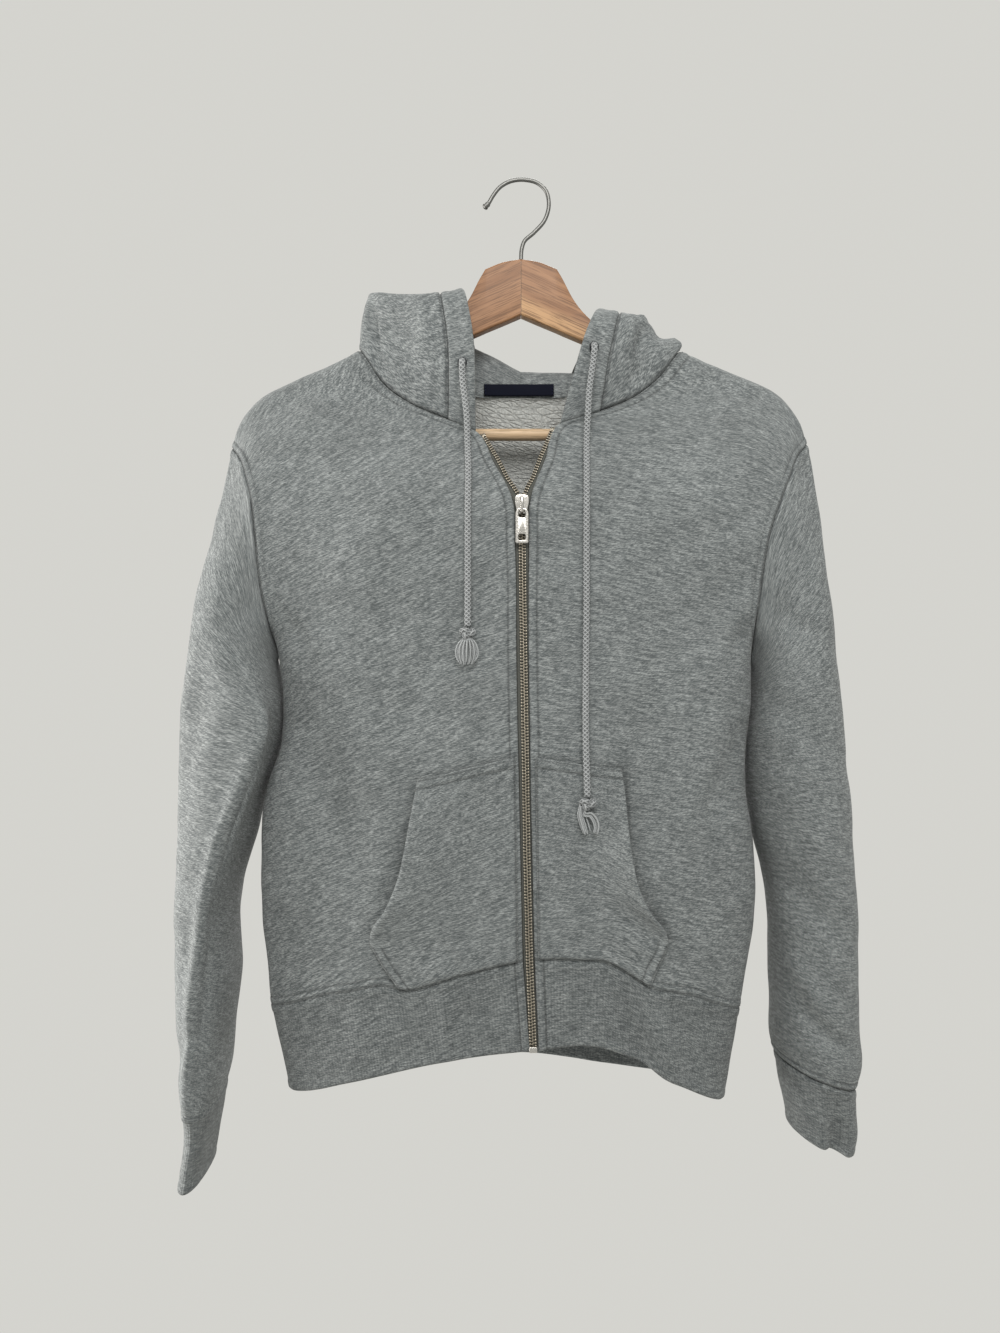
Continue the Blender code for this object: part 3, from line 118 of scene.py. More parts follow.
# Waves of the seam above the hem band, and of the hem's edge, by the place across a front.
RIB_SEAM_WAVE = {-1: ((0, 0), (0.25, -1), (0.42, -4), (0.53, 5), (0.75, 6), (1, 0)),
                 1: ((0, 0), (0.12, 7), (0.33, 16), (0.45, 9), (0.56, 3), (0.7, 7), (1, 0))}
HEM_WAVE = {-1: ((0, 0), (0.2, 5), (0.45, 7.5), (0.7, 5.5), (1, 0)),
            1: ((0, 0), (0.15, 13), (0.34, 22), (0.55, 18), (0.64, 11), (0.85, 5), (1, 0))}
HEM_INNER = {-1: (2.5, -82, -726), 1: (13.5, -82, -726)}
HEM_OUTER = {-1: (-197, -20, -775), 1: (169, -20, -783)}
HEM_BACK = (22, -772)
SIDE_ROUNDNESS = 2.7
OPEN_ROUNDNESS = 2.4

FRONT_ACROSS = (0, 0.08, 0.18, 0.29, 0.41, 0.53, 0.64, 0.74, 0.83, 0.90, 0.955, 0.985, 1)
BACK_ACROSS = (0, 0.14, 0.28, 0.42, 0.518, 0.563, 0.65, 0.74, 0.83, 0.90, 0.955, 0.985, 1)
NECK_COLUMN = 5
BODY_PLACES = (0, 0.045, 0.09, 0.18, 0.27, 0.35, 0.41, 0.47, 0.482, 0.50, 0.53, 0.60, 0.68, 0.76, 0.84,
               0.89, 0.94, 1)
ARMPIT_ROW = 7
ZIP_TOP_ROW = 14
BAND_FOOT_ROW = 15
FOLD_STEPS = (0.35, 0.7, 1)

FRONT_OF = {-1: FRONT_RIGHT, 1: FRONT_LEFT}
SIDE_NAME = {-1: "right", 1: "left"}


# ---------------------------------------------------------------- curves and grids
def read_table(table, place):
    """The columns of a table at a place, on a smooth curve through its rows."""
    rows = np.array(table, float)
    places, values = rows[:, 0], rows[:, 1:]
    slopes = np.gradient(values, places, axis=0)
    i = int(np.clip(np.searchsorted(places, place) - 1, 0, len(places) - 2))
    step = places[i + 1] - places[i]
    t = (place - places[i]) / step
    start = values[i] * (2 * t ** 3 - 3 * t ** 2 + 1) + slopes[i] * step * (t ** 3 - 2 * t ** 2 + t)
    end = values[i + 1] * (3 * t ** 2 - 2 * t ** 3) + slopes[i + 1] * step * (t ** 3 - t ** 2)
    return start + end


def straight_table(table, place):
    """One column of a table at a place, on straight lines between its rows."""
    rows = np.array(table, float)
    return float(np.interp(place, rows[:, 0], rows[:, 1]))


def lengths_along(points):
    """How far along a line of points each one lies."""
    return np.concatenate([[0], np.cumsum(np.linalg.norm(np.diff(points, axis=0), axis=1))])


def unit(ways):
    """Directions made one unit long."""
    return ways / np.maximum(np.linalg.norm(ways, axis=-1, keepdims=True), 1e-9)


def smooth_route(route, count):
    """Points on a smooth curve through a route."""
    lengths = lengths_along(np.array(route, float))
    table = [(length, *point) for length, point in zip(lengths, route)]
    return np.array([read_table(table, s) for s in np.linspace(0, lengths[-1], count)])


def smooth_step(low, high, value):
    t = min(max((value - low) / (high - low), 0), 1)
    return t * t * (3 - 2 * t)


def wall_directions(points, ring=False):
    """Unit vectors out of a grid of points, by the cross product of its two directions."""
    if ring:
        along = np.roll(points, -1, axis=1) - np.roll(points, 1, axis=1)
    else:
        along = np.gradient(points, axis=1)
    up = np.gradient(points, axis=0)
    return unit(np.cross(along, up))


class Sheet:
    """A cloth piece: a grid of outer points and the direction out of the wall at each."""

    def __init__(self, points, ring=False, flip=False):
        self.points = np.array(points, float)
        self.ring = ring
        self.out = wall_directions(self.points, ring) * (-1 if flip else 1)

    def soften(self, times):
        """Even out the wall's direction between neighbouring points."""
        for _ in range(times):
            padded = np.pad(self.out, ((1, 1), (1, 1), (0, 0)), mode="edge")
            blended = (self.out * 2 + padded[:-2, 1:-1] + padded[2:, 1:-1] + padded[1:-1, :-2]
                       + padded[1:-1, 2:])
            self.out = unit(blended)


def share_seam(first, first_places, second, second_places):
    """Give two sheets the same wall direction along the seam that joins them."""
    for a, b in zip(first_places, second_places):
        first.out[a] = second.out[b] = unit(first.out[a] + second.out[b])


# ---------------------------------------------------------------- the body
def shoulder_seam(side, across):
    """A point of the shoulder seam, from the neck point (0) to the shoulder's tip (1)."""
    start, end = np.array(NECK_POINT[side], float), np.array(SHOULDER_TIP[side], float)
    point = start + (end - start) * across
    point[2] += straight_table(SHOULDER_RISE, across)
    return point


def side_profile(across, openness):
    """The share of a panel's depth that is left at a place across it."""
    folded = max(1 - across ** SIDE_ROUNDNESS, 0) ** (1 / SIDE_ROUNDNESS)
    opened = 1 - across ** OPEN_ROUNDNESS
    return folded + (opened - folded) * openness


def front_plain(side, across, place):
    """A point of a front panel, below the fold over the shoulder."""
    row = read_table(FRONT_OF[side], place)
    inner, outer, openness, lift = row[0:3], row[3:6], row[6], row[7]
    point = inner + (outer - inner) * across
    share = side_profile(across, min(max(openness, 0), 1))
    point[1] = outer[1] + (inner[1] - outer[1]) * share
    point[2] += lift * straight_table(SHOULDER_RISE, across)
    point[2] += straight_table(RIB_SEAM_WAVE[side], across) * (1 - smooth_step(0, 0.09, place))
    return point


def over_the_shoulder(below, top, fold):
    """A quarter turn from a line below the shoulder to the seam on top of it."""
    point = below + (top - below) * math.sin(fold * math.pi / 2)
    point[1] = below[1] + (top[1] - below[1]) * (1 - math.cos(fold * math.pi / 2))
    return point


def front_grid(side):
    rows = [[front_plain(side, u, v) for u in FRONT_ACROSS] for v in BODY_PLACES]
    for fold in FOLD_STEPS:
        rows.append([over_the_shoulder(front_plain(side, u, 1), shoulder_seam(side, u), fold)
                     for u in FRONT_ACROSS])
    return np.array(rows)


def back_top(side, across):
    """The top edge of the back: its neckline, then the shoulder seam."""
    neck_share = BACK_ACROSS[NECK_COLUMN]
    if across > neck_share:
        return shoulder_seam(side, (across - neck_share) / (1 - neck_share))
    t = across / neck_share
    start, end = np.array((0, *BACK_NECK), float), np.array(NECK_POINT[side], float)
    point = start + (end - start) * t
    point[1] = start[1] + (end[1] - start[1]) * t ** NECKLINE_BEND
    point[2] += straight_table(NECKLINE_RISE, t)
    return point


def back_plain(side, across, place):
    row = read_table(BACK, place)
    edge = read_table(FRONT_OF[side], place)[3:6]
    centre = np.array((0, row[0], row[1]), float)
    point = centre + (edge - centre) * across
    share = side_profile(across, min(max(row[3], 0), 1))
    point[1] = row[2] + (row[0] - row[2]) * share
    chord = BACK_NECK[1] + (SHOULDER_TIP[side][2] - BACK_NECK[1]) * across
    point[2] += row[4] * (back_top(side, across)[2] - chord)
    return point


def back_grid():
    columns = [(-1, u) for u in reversed(BACK_ACROSS)] + [(1, u) for u in BACK_ACROSS[1:]]
    rows = [[back_plain(side, u, v) for side, u in columns] for v in BODY_PLACES]
    for fold in FOLD_STEPS:
        rows.append([over_the_shoulder(back_plain(side, u, 1), back_top(side, u), fold)
                     for side, u in columns])
    return np.array(rows)


def hem_grid():
    """The hem band, from the right zip edge round the back to the left zip edge."""
    upper, lower = [], []
    for side, place, front in hem_columns():
        if front:
            inner, outer = np.array(HEM_INNER[side], float), np.array(HEM_OUTER[side], float)
            point = inner + (outer - inner) * place
            point[1] = outer[1] + (inner[1] - outer[1]) * side_profile(place, 0)
            point[2] += straight_table(HEM_WAVE[side], place)
            upper.append(front_plain(side, place, 0))
        else:
            centre, outer = np.array((-8, *HEM_BACK), float), np.array(HEM_OUTER[side], float)
            point = centre + (outer - centre) * place
            point[1] = outer[1] + (centre[1] - outer[1]) * side_profile(place, 0)
            upper.append(back_plain(side, place, 0))
        lower.append(point)
    upper, lower = np.array(upper), np.array(lower)
    return np.array([lower + (upper - lower) * t for t in (0, 0.3, 0.62, 0.86, 1)])


def hem_columns():
    """Places across the hem band: the side, the place across its panel, and if on a front."""
    columns = [(-1, u, True) for u in FRONT_ACROSS]
    columns += [(-1, u, False) for u in reversed(BACK_ACROSS[:-1])]
    columns += [(1, u, False) for u in BACK_ACROSS[1:]]
    columns += [(1, u, True) for u in reversed(FRONT_ACROSS[:-1])]
    return columns


# ---------------------------------------------------------------- the sleeves
# Each row is one ring: its point nearest the body, its outermost point, its front and
# back, where along it the front ridge stands, and how far it has left the armhole's shape.
# Columns: place, inner x z, outer x z, front y, back y, ridge, rounding.
SLEEVE_RIGHT = (
    (0.00, -208, -413, -251, -240, -50, 14, 0.50, 0.0),
    (0.06, -208.5, -417, -257, -272, -53, 18, 0.50, 0.3),
    (0.12, -209, -422, -264, -314, -57, 22, 0.48, 0.65),
    (0.18, -208, -430, -274, -358, -62, 26, 0.42, 0.9),
    (0.24, -206.5, -443, -281, -402, -67, 30, 0.30, 1.0),
    (0.31, -205.5, -465, -286, -450, -71, 34, 0.14, 1.0),
    (0.38, -210, -497, -288, -492, -74, 37, 0.12, 1.0),
    (0.46, -220, -533, -288.5, -532, -75, 38, 0.14, 1.0),
    (0.54, -229, -568, -289.5, -572, -74, 38, 0.22, 1.0),
    (0.62, -241, -606, -290.5, -614, -73, 37, 0.27, 1.0),
    (0.70, -244, -646, -290, -655, -72, 36, 0.36, 1.0),
    (0.78, -243.5, -690, -288.5, -701, -70, 34, 0.40, 1.0),
    (0.86, -249, -738, -286.5, -748, -67, 31, 0.42, 1.0),
    (0.94, -253, -776, -284, -781, -64, 28, 0.45, 1.0),
    (1.00, -259, -798, -280, -798, -58, 24, 0.45, 1.0),
)
SLEEVE_LEFT = (
    (0.00, 196, -416, 249, -236, -50, 14, 0.50, 0.0),
    (0.06, 197, -420, 254, -270, -53, 18, 0.50, 0.3),
    (0.12, 198, -425, 256, -314, -57, 22, 0.50, 0.65),
    (0.18, 198.5, -433, 259, -358, -61, 26, 0.50, 0.9),
    (0.24, 198, -446, 263, -400, -64, 29, 0.50, 1.0),
    (0.31, 196.5, -469, 268, -452, -66, 32, 0.50, 1.0),
    (0.38, 193, -499, 272, -495, -67, 34, 0.50, 1.0),
    (0.46, 194, -530, 275.5, -535, -67, 34, 0.50, 1.0),
    (0.54, 199.5, -564, 278.5, -574, -66, 33, 0.50, 1.0),
    (0.62, 208, -598, 281, -612, -65, 32, 0.50, 1.0),
    (0.70, 212.5, -636, 282.5, -650, -64, 31, 0.50, 1.0),
    (0.78, 214, -676, 283, -690, -62, 30, 0.50, 1.0),
    (0.86, 214, -714, 284.5, -728, -60, 28, 0.50, 1.0),
    (0.94, 215, -744, 288, -759, -57, 26, 0.50, 1.0),
    (1.00, 219, -757, 282, -781, -52, 22, 0.50, 1.0),
)
CUFF_RIGHT = (
    (0.00, -259, -798.4, -280, -798.4, -58, 24, 0.45, 1.0),
    (0.30, -260.5, -816, -283, -818, -55, 22, 0.45, 1.0),
    (0.70, -264.5, -838, -286.5, -843, -53, 21, 0.45, 1.0),
    (1.00, -267, -853, -288, -859, -52, 20, 0.45, 1.0),
)
CUFF_LEFT = (
    (0.00, 219.2, -757.4, 282, -781.4, -52, 22, 0.50, 1.0),
    (0.30, 221, -775, 284, -797, -50, 20, 0.50, 1.0),
    (0.70, 226, -799, 284.5, -819, -48, 19, 0.50, 1.0),
    (1.00, 229.5, -815, 281, -835, -47, 18, 0.50, 1.0),
)
SLEEVE_PLACES = (0, 0.03, 0.06, 0.12, 0.18, 0.24, 0.31, 0.38, 0.46, 0.54, 0.62, 0.70, 0.78, 0.86, 0.94,
                 0.98, 1)
CUFF_PLACES = (0, 0.3, 0.65, 1)
SLEEVE_OF = {-1: SLEEVE_RIGHT, 1: SLEEVE_LEFT}
CUFF_OF = {-1: CUFF_RIGHT, 1: CUFF_LEFT}
CUFF_FOLD_DEPTH = {-1: 0, 1: 12}
CUFF_FOLD_PLACE = 0.58
CUFF_FOLD_WIDTH = 0.13


def armhole_loop(side):
    """The armhole seam, from the armpit up its front and down its back to the armpit."""
    front = [front_plain(side, 1, v) for v in BODY_PLACES[ARMPIT_ROW:]]
    back = [back_plain(side, 1, v) for v in BODY_PLACES[ARMPIT_ROW:]]
    tip = shoulder_seam(side, 1)
    front += [over_the_shoulder(front[-1], tip, fold) for fold in FOLD_STEPS]
    back += [over_the_shoulder(back[-1], tip, fold) for fold in FOLD_STEPS[:-1]]
    return np.array(front + back[:0:-1])


def sleeve_ring(side, table, place, fold_depth=0.0):
    """One ring of a sleeve or cuff. Its first point is the one nearest the body."""
    loop = armhole_loop(side)
    count = len(loop)
    inner_x, inner_z, outer_x, outer_z, front, back, ridge, rounding = read_table(table, place)
    foot, tip = loop[0], loop[count // 2]
    chord = np.array((tip[0] - foot[0], tip[2] - foot[2]))
    length = np.linalg.norm(chord)
    ahead = chord / length
    aside = np.array((-ahead[1], ahead[0]))
    new_chord = np.array((outer_x - inner_x, outer_z - inner_z))
    new_length = np.linalg.norm(new_chord)
    new_ahead = new_chord / new_length
    new_aside = np.array((-new_ahead[1], new_ahead[0]))
    rounding = min(max(rounding, 0), 1)
    ring = []
    for i, point in enumerate(loop):
        offset = np.array((point[0] - foot[0], point[2] - foot[2]))
        share, bow, depth = offset @ ahead / length, offset @ aside, point[1]
        angle = 2 * math.pi * i / count
        round_share = (1 - math.cos(angle)) / 2
        middle, half = (front + back) / 2, (back - front) / 2
        round_depth = middle - half * math.copysign(abs(math.sin(angle)) ** 0.8, math.sin(angle))
        if i < count // 2:
            round_share += (ridge - 0.5) * math.sin(angle) ** 3
            dent = (round_share - CUFF_FOLD_PLACE) / CUFF_FOLD_WIDTH
            round_depth += fold_depth * math.exp(-dent * dent)
        share += (round_share - share) * rounding
        bow *= (1 - rounding)
        depth += (round_depth - depth) * rounding
        flat = np.array((inner_x, inner_z)) + new_ahead * share * new_length + new_aside * bow
        ring.append((flat[0], depth, flat[1]))
    return ring


def sleeve_grid(side):
    rings = [armhole_loop(side)]
    rings += [sleeve_ring(side, SLEEVE_OF[side], place) for place in SLEEVE_PLACES[1:]]
    return np.array(rings)


def cuff_grid(side):
    depth = CUFF_FOLD_DEPTH[side]
    return np.array([sleeve_ring(side, CUFF_OF[side], place, depth * place) for place in CUFF_PLACES])


# ---------------------------------------------------------------- the hood
# It rises from the neck, folds over and hangs down behind as an open pouch. Each row is
# one line of the cloth, from the neck seam at its place (0 at the band, 0.5 at the
# shoulder, 1 at the nape) to the hood's centre seam.
# Columns: place, rise, crest, over, behind, low, end, each an x y z.
CROWN = (0, 56, -400)
HOOD_RIGHT = (
    (0.00, (-62, -41, -160), (-68, -33, -112), (-69, -4, -108), (-62, 43, -131), (-36, 77, -210),
     (0, 90, -268)),
    (0.25, (-98, -29, -150), (-103, -22, -110), (-106, 12, -105), (-98, 57, -148), (-58, 84, -235),
     (0, 92, -300)),
    (0.50, (-139, -3, -126), (-135, 4, -103), (-135, 30, -115), (-127, 60, -188), (-82, 78, -290),
     (0, 88, -345)),
    (0.60, (-128, 11, -138), (-130, 17, -125), (-129, 29, -142), (-120, 42, -203), (-73, 63, -312),
     (0, 80, -368)),
    (0.70, (-103, 19, -151), (-106, 25, -126), (-112, 34, -138), (-110, 38, -225), (-62, 48, -345),
     (0, 66, -390)),
    (0.85, (-54, 21, -158), (-56, 25, -134), (-59, 33, -143), (-58, 38, -225), (-32, 44, -338),
     (0, 60, -396)),
    (1.00, (0, 22, -172), (0, 27, -161), (0, 34, -172), (0, 36, -240), (0, 41, -330), CROWN),
)
HOOD_LEFT = (
    (0.00, (72, -41, -172), (80, -34, -133), (84, -5, -120), (72, 42, -150), (38, 76, -222), (0, 90, -268)),
    (0.25, (98, -30, -160), (97, -26, -128), (104, 10, -127), (100, 57, -162), (60, 84, -240), (0, 92, -300)),
    (0.50, (140, -3, -142), (136, 7, -137), (134, 32, -146), (127, 60, -198), (82, 78, -292), (0, 88, -345)),
    (0.60, (126, 12, -145), (128, 18, -144), (127, 28, -162), (118, 42, -207), (73, 63, -315), (0, 80, -368)),
    (0.70, (101, 19, -160), (107, 26, -157), (115, 33, -177), (108, 36, -240), (62, 48, -345), (0, 66, -390)),
    (1.00, (0, 22, -172), (0, 27, -161), (0, 34, -172), (0, 36, -240), (0, 41, -330), CROWN),
)
# The opening edge of the hood's band, at the same six places along it.
BAND_EDGE = {
    -1: ((-40, -45, -160), (-47, -37, -112), (-52, -5, -100), (-49, 45, -107), (-25, 83, -187),
     (0, 93, -247)),
    1: ((48, -45, -162), (59, -38, -130), (65, -6, -117), (56, 42, -136), (24, 82, -202), (0, 93, -247)),
}
HOOD_OF = {-1: HOOD_RIGHT, 1: HOOD_LEFT}
HOOD_FRONT_PLACES = (0, 0.14, 0.30, 0.38, 0.45, 0.5)
HOOD_BACK_PLACES = (0.6, 0.7, 0.8, 0.9, 1)
HOOD_STEPS = 3
HOOD_SOFTENING = 2
BAND_CLOTH = 3.5


def line_through(points, steps):
    """Points on a smooth curve through a few points, with so many steps between each two."""
    table = [(i, *point) for i, point in enumerate(points)]
    count = (len(points) - 1) * steps
    return [read_table(table, i / steps) for i in range(count + 1)]


def hood_section(side, place):
    """The points of one line of the hood after its seam, read between the table's rows."""
    table = [(row[0], *[value for point in row[1:] for value in point]) for row in HOOD_OF[side]]
    return read_table(table, place).reshape(-1, 3)


def neck_seam(side):
    """The neck seam from the band's foot over the shoulder to the nape."""
    front = front_grid(side)[BAND_FOOT_ROW:, 0]
    back = [back_top(side, u) for u in reversed(BACK_ACROSS[:NECK_COLUMN])]
    return list(front) + back


def hood_grid(side):
    places = HOOD_FRONT_PLACES + HOOD_BACK_PLACES
    lines = []
    for seam, place in zip(neck_seam(side), places):
        section = hood_section(side, place)
        if place < 1:
            section[-1][0] = 0
        lines.append(line_through([seam, *section], HOOD_STEPS))
    return np.array(lines).transpose(1, 0, 2)


def band_grid(side):
    seam = [line[0] for line in hood_grid(side)]
    foot = front_grid(side)[ZIP_TOP_ROW, 0]
    edge = line_through([foot, *np.array(BAND_EDGE[side], float)], HOOD_STEPS)
    return np.array([[e, s] for e, s in zip(edge, seam)])


# ---------------------------------------------------------------- places on the fronts
def front_at(side, x, z):
    """The place across and up a front panel whose point has this x and z."""
    place = 0.3
    for _ in range(14):
        row = read_table(FRONT_OF[side], place)
        across = min(max((x - row[0]) / (row[3] - row[0]), 0), 1)
        here = front_plain(side, across, place)[2]
        there = front_plain(side, across, place + 0.01)[2]
        place = min(max(place + 0.01 * (z - here) / (there - here), 0.002), 1)
    return across, place


def front_out(side, across, place):
    """The direction out of a front panel."""
    step = 0.01
    ahead = front_plain(side, min(across + step, 1), place) - front_plain(side, max(across - step, 0), place)
    up = front_plain(side, across, place + step) - front_plain(side, across, place)
    out = np.cross(ahead, up) * side
    return out / np.linalg.norm(out)


def on_front(side, x, z, away):
    """A point a distance in front of a front panel's outer face."""
    across, place = front_at(side, x, z)
    return front_plain(side, across, place) + front_out(side, across, place) * away


# ---------------------------------------------------------------- the pockets
# The outer edge of each pocket from its foot up to its top corner: x, z, and how far the
# free edge of the opening stands off the front.
# Columns: place, x, z, stand-off.
POCKET_RIGHT = (
    (0.00, -98, -677, 0.0), (0.10, -110, -661, 0.0), (0.19, -121, -641, 0.2), (0.25, -119, -631, 3.0),
    (0.36, -107, -613, 8.0), (0.50, -97, -588, 9.0), (0.64, -92, -564, 9.0), (0.78, -88, -540, 7.0),
    (0.90, -85, -522, 3.0), (1.00, -84, -513, 0.0),
)
POCKET_LEFT = (
    (0.00, 100, -675, 0.0), (0.10, 106, -660, 0.0), (0.19, 114, -641, 0.2), (0.25, 111, -631, 3.0),
    (0.36, 99, -616, 8.0), (0.50, 89, -595, 9.0), (0.64, 84, -570, 9.0), (0.78, 81, -543, 7.0),
    (0.90, 79, -518, 3.0), (1.00, 77, -505, 0.0),
)
POCKET_OF = {-1: POCKET_RIGHT, 1: POCKET_LEFT}
# The pocket's inner edge beside the zip: its x at the foot and at the top, and the top's z.
POCKET_INNER = {-1: (-6.5, -8.5, -495), 1: (13.0, 11.0, -495)}
POCKET_LAY = 0.7
POCKET_ACROSS = (0, 0.2, 0.4, 0.58, 0.74, 0.88, 1)
POCKET_PLACES = (0, 0.07, 0.13, 0.19, 0.25, 0.36, 0.5, 0.64, 0.78, 0.9, 1)
POCKET_EDGE = 2.0
STAND_FROM = 0.55


def pocket_foot(side, x):
    """The pocket's lower edge, just above the seam of the hem band."""
    row = read_table(FRONT_OF[side], 0)
    across = (x - row[0]) / (row[3] - row[0])
    return np.array((x, front_plain(side, across, 0)[2] + POCKET_EDGE))


def pocket_place(side, u, v):
    """The x and z of a place on a pocket, blended from its four edges."""
    foot_x, top_x, top_z = POCKET_INNER[side]
    corner = read_table(POCKET_OF[side], 0)[0]
    top_corner = read_table(POCKET_OF[side], 1)[:2]
    bottom = pocket_foot(side, foot_x + (corner - foot_x) * u)
    top = np.array((top_x, top_z)) + (top_corner - (top_x, top_z)) * u
    start_foot, end_foot = pocket_foot(side, foot_x), pocket_foot(side, corner)
    start = start_foot + (np.array((top_x, top_z)) - start_foot) * v
    end = read_table(POCKET_OF[side], v)[:2] if v > 0 else end_foot
    corners = (start_foot * (1 - u) + end_foot * u) * (1 - v)
    corners += (np.array((top_x, top_z)) * (1 - u) + top_corner * u) * v
    return bottom * (1 - v) + top * v + start * (1 - u) + end * u - corners


def pocket_grid(side):
    rows = []
    for v in POCKET_PLACES:
        stand = max(read_table(POCKET_OF[side], v)[2], 0)
        row = []
        for u in POCKET_ACROSS:
            away = POCKET_LAY + CLOTH + stand * smooth_step(STAND_FROM, 1, u)
            row.append(on_front(side, *pocket_place(side, u, v), away))
        rows.append(row)
    return np.array(rows)


# ---------------------------------------------------------------- the zip
ZIP_CENTRE = ((-730, 8), (-656, 5), (-577, 3), (-370, 0), (-288, -0.8))
TAPE_UNDER = 4.5
TAPE_DEPTH = 3.3
TAPE_THICK = 0.9
TEETH_TOP = 0.4
OPEN_TAPE_REACH = 5.5
ZIP_GAP = 0.2
PARTING_GAP = 2.2
ZIP_CLOSED_TO = 0.656
TAPE_PLACES = (0.045, 0.09, 0.18, 0.27, 0.35, 0.41, 0.47, 0.53, 0.60, ZIP_CLOSED_TO, 0.68, 0.76, 0.82)
STOP_SIZE = (6.5, 2.2, 4.5)


def zip_centre(z):
    return float(np.interp(z, [row[0] for row in ZIP_CENTRE], [row[1] for row in ZIP_CENTRE]))


def tape_path(side):
    """The zip edge of a front, from the hem's edge up to the neck: points and directions out."""
    low = np.array(HEM_INNER[side], float)
    seam = front_plain(side, 0, 0)
    out = front_out(side, 0.02, 0.01)
    path = [(low + (seam - low) * t, out, ZIP_GAP) for t in (0.02, 0.5, 0.95)]
    for v in TAPE_PLACES:
        above = next(i for i, place in enumerate(BODY_PLACES) if place >= v)
        share = (v - BODY_PLACES[above - 1]) / (BODY_PLACES[above] - BODY_PLACES[above - 1])
        ends = [front_plain(side, 0, BODY_PLACES[above - 1 + k]) for k in (0, 1)]
        gap = ZIP_GAP if v <= ZIP_CLOSED_TO else PARTING_GAP
        path.append((ends[0] + (ends[1] - ends[0]) * share, front_out(side, 0.02, v), gap))
    return path


# The slider stands on the teeth where the fronts part. Its bridge holds the pull's bar.
SLIDER_HALF_WIDTH = 5.2
SLIDER_TOP, SLIDER_FOOT = -284.5, -300.0
SLIDER_FRONT = -65.0
PLATE = 1.4
SLIDER_CORE = 7.2
POST_FOOT = -288.5
BRIDGE_OUT = 4.0
PULL_AXIS_Z = -296.6
PULL_AXIS_OUT = 2.2
PULL_BAR = 1.2
PULL_THICK = 1.3
PULL_HALF_WIDTH = 5.2
PULL_LENGTH = 27.5


# ---------------------------------------------------------------- label and drawcords
LABEL_HALF_WIDTH, LABEL_FOOT, LABEL_TOP, LABEL_THICK = 31.0, -182.6, -171.5, 0.8
LABEL_CENTRE = -1.5
LABEL_FACE = (15.2, 17.9)
CORD_RADIUS = 3.0
CORD_LAY = 0.4
# Each cord's route from its eyelet: x and z. Its depth is just in front of what it lies on.
CORD_ROUTE = {
    -1: ((-49.5, -173), (-49.2, -182), (-48.5, -192), (-47, -203), (-45.5, -218), (-45, -237), (-44, -262),
         (-44, -290), (-44, -333), (-44, -365), (-44, -391)),
    1: ((59.5, -160), (58.6, -170), (57, -181), (55, -196), (54, -214), (53, -232), (52, -262), (51.3, -290),
        (51, -330), (50.8, -371), (50, -430), (49.5, -487), (50.3, -525)),
}
CORD_POINTS = {-1: 26, 1: 40}
BAND_CORD_DEPTH = -49.2
KNOT_SIZE = (7.0, 5.5, 5.0)
KNOT_RISE = 8.0


def cord_points(side):
    """The centre line of a drawcord, close in front of the band and the front panel."""
    route = []
    zip_top = FRONT_OF[side][11][3]
    for x, z in CORD_ROUTE[side]:
        depth = BAND_CORD_DEPTH
        if z < zip_top:
            lowest = min(on_front(side, x, z + step, CORD_RADIUS + CORD_LAY)[1] for step in (-6, 0, 6))
            depth = min(depth, lowest)
        if z < POCKET_INNER[side][2] + 30 and side == 1:
            depth -= POCKET_LAY + CLOTH + POCKET_LAY
        if z < CORD_ROUTE[side][-1][1] + KNOT_RISE:
            depth -= KNOT_SIZE[1] - CORD_RADIUS + CORD_LAY
        route.append((x, depth, z))
    return smooth_route(route, CORD_POINTS[side])


# ---------------------------------------------------------------- the hanger
# Each row is one section of a hanger arm: distance from the middle, top, underside and
# half the thickness. The end is deep enough to hold the bar.
# Columns: x, top, underside, half thickness.
ARM = (
    (0.15, -69.3, -118, 6), (16, -72, -124.8, 6), (31, -78, -131, 6), (36, -86.5, -133.3, 6),
    (44, -102.0, -136.7, 6), (60, -121.5, -143.4, 6), (80, -131.0, -151.9, 6), (100, -139.5, -160.4, 6),
    (140, -155.5, -177, 6), (180, -174.5, -197, 6), (193, -181.0, -206, 6), (195, -182, -227, 6),
    (205, -187, -232, 6),
    (213, -191, -233, 6), (219, -198, -230, 5.5), (222.5, -207, -222, 3.5),
)
BAR_RADIUS, BAR_Z, BAR_HALF = 5.25, -220.7, 193.4
WIRE_RADIUS = 1.75
HOOK_ROUTE = (
    (0, -68.7), (0.6, -59), (2.6, -52.5), (11.3, -44.3), (20.6, -33.5), (24.3, -19), (21.8, -8), (14.4, -1),
    (5, 1.6), (-2.6, 1.8), (-10, 0.2), (-18.3, -4.6), (-24.7, -12.6), (-29, -19.6), (-32.6, -23),
)


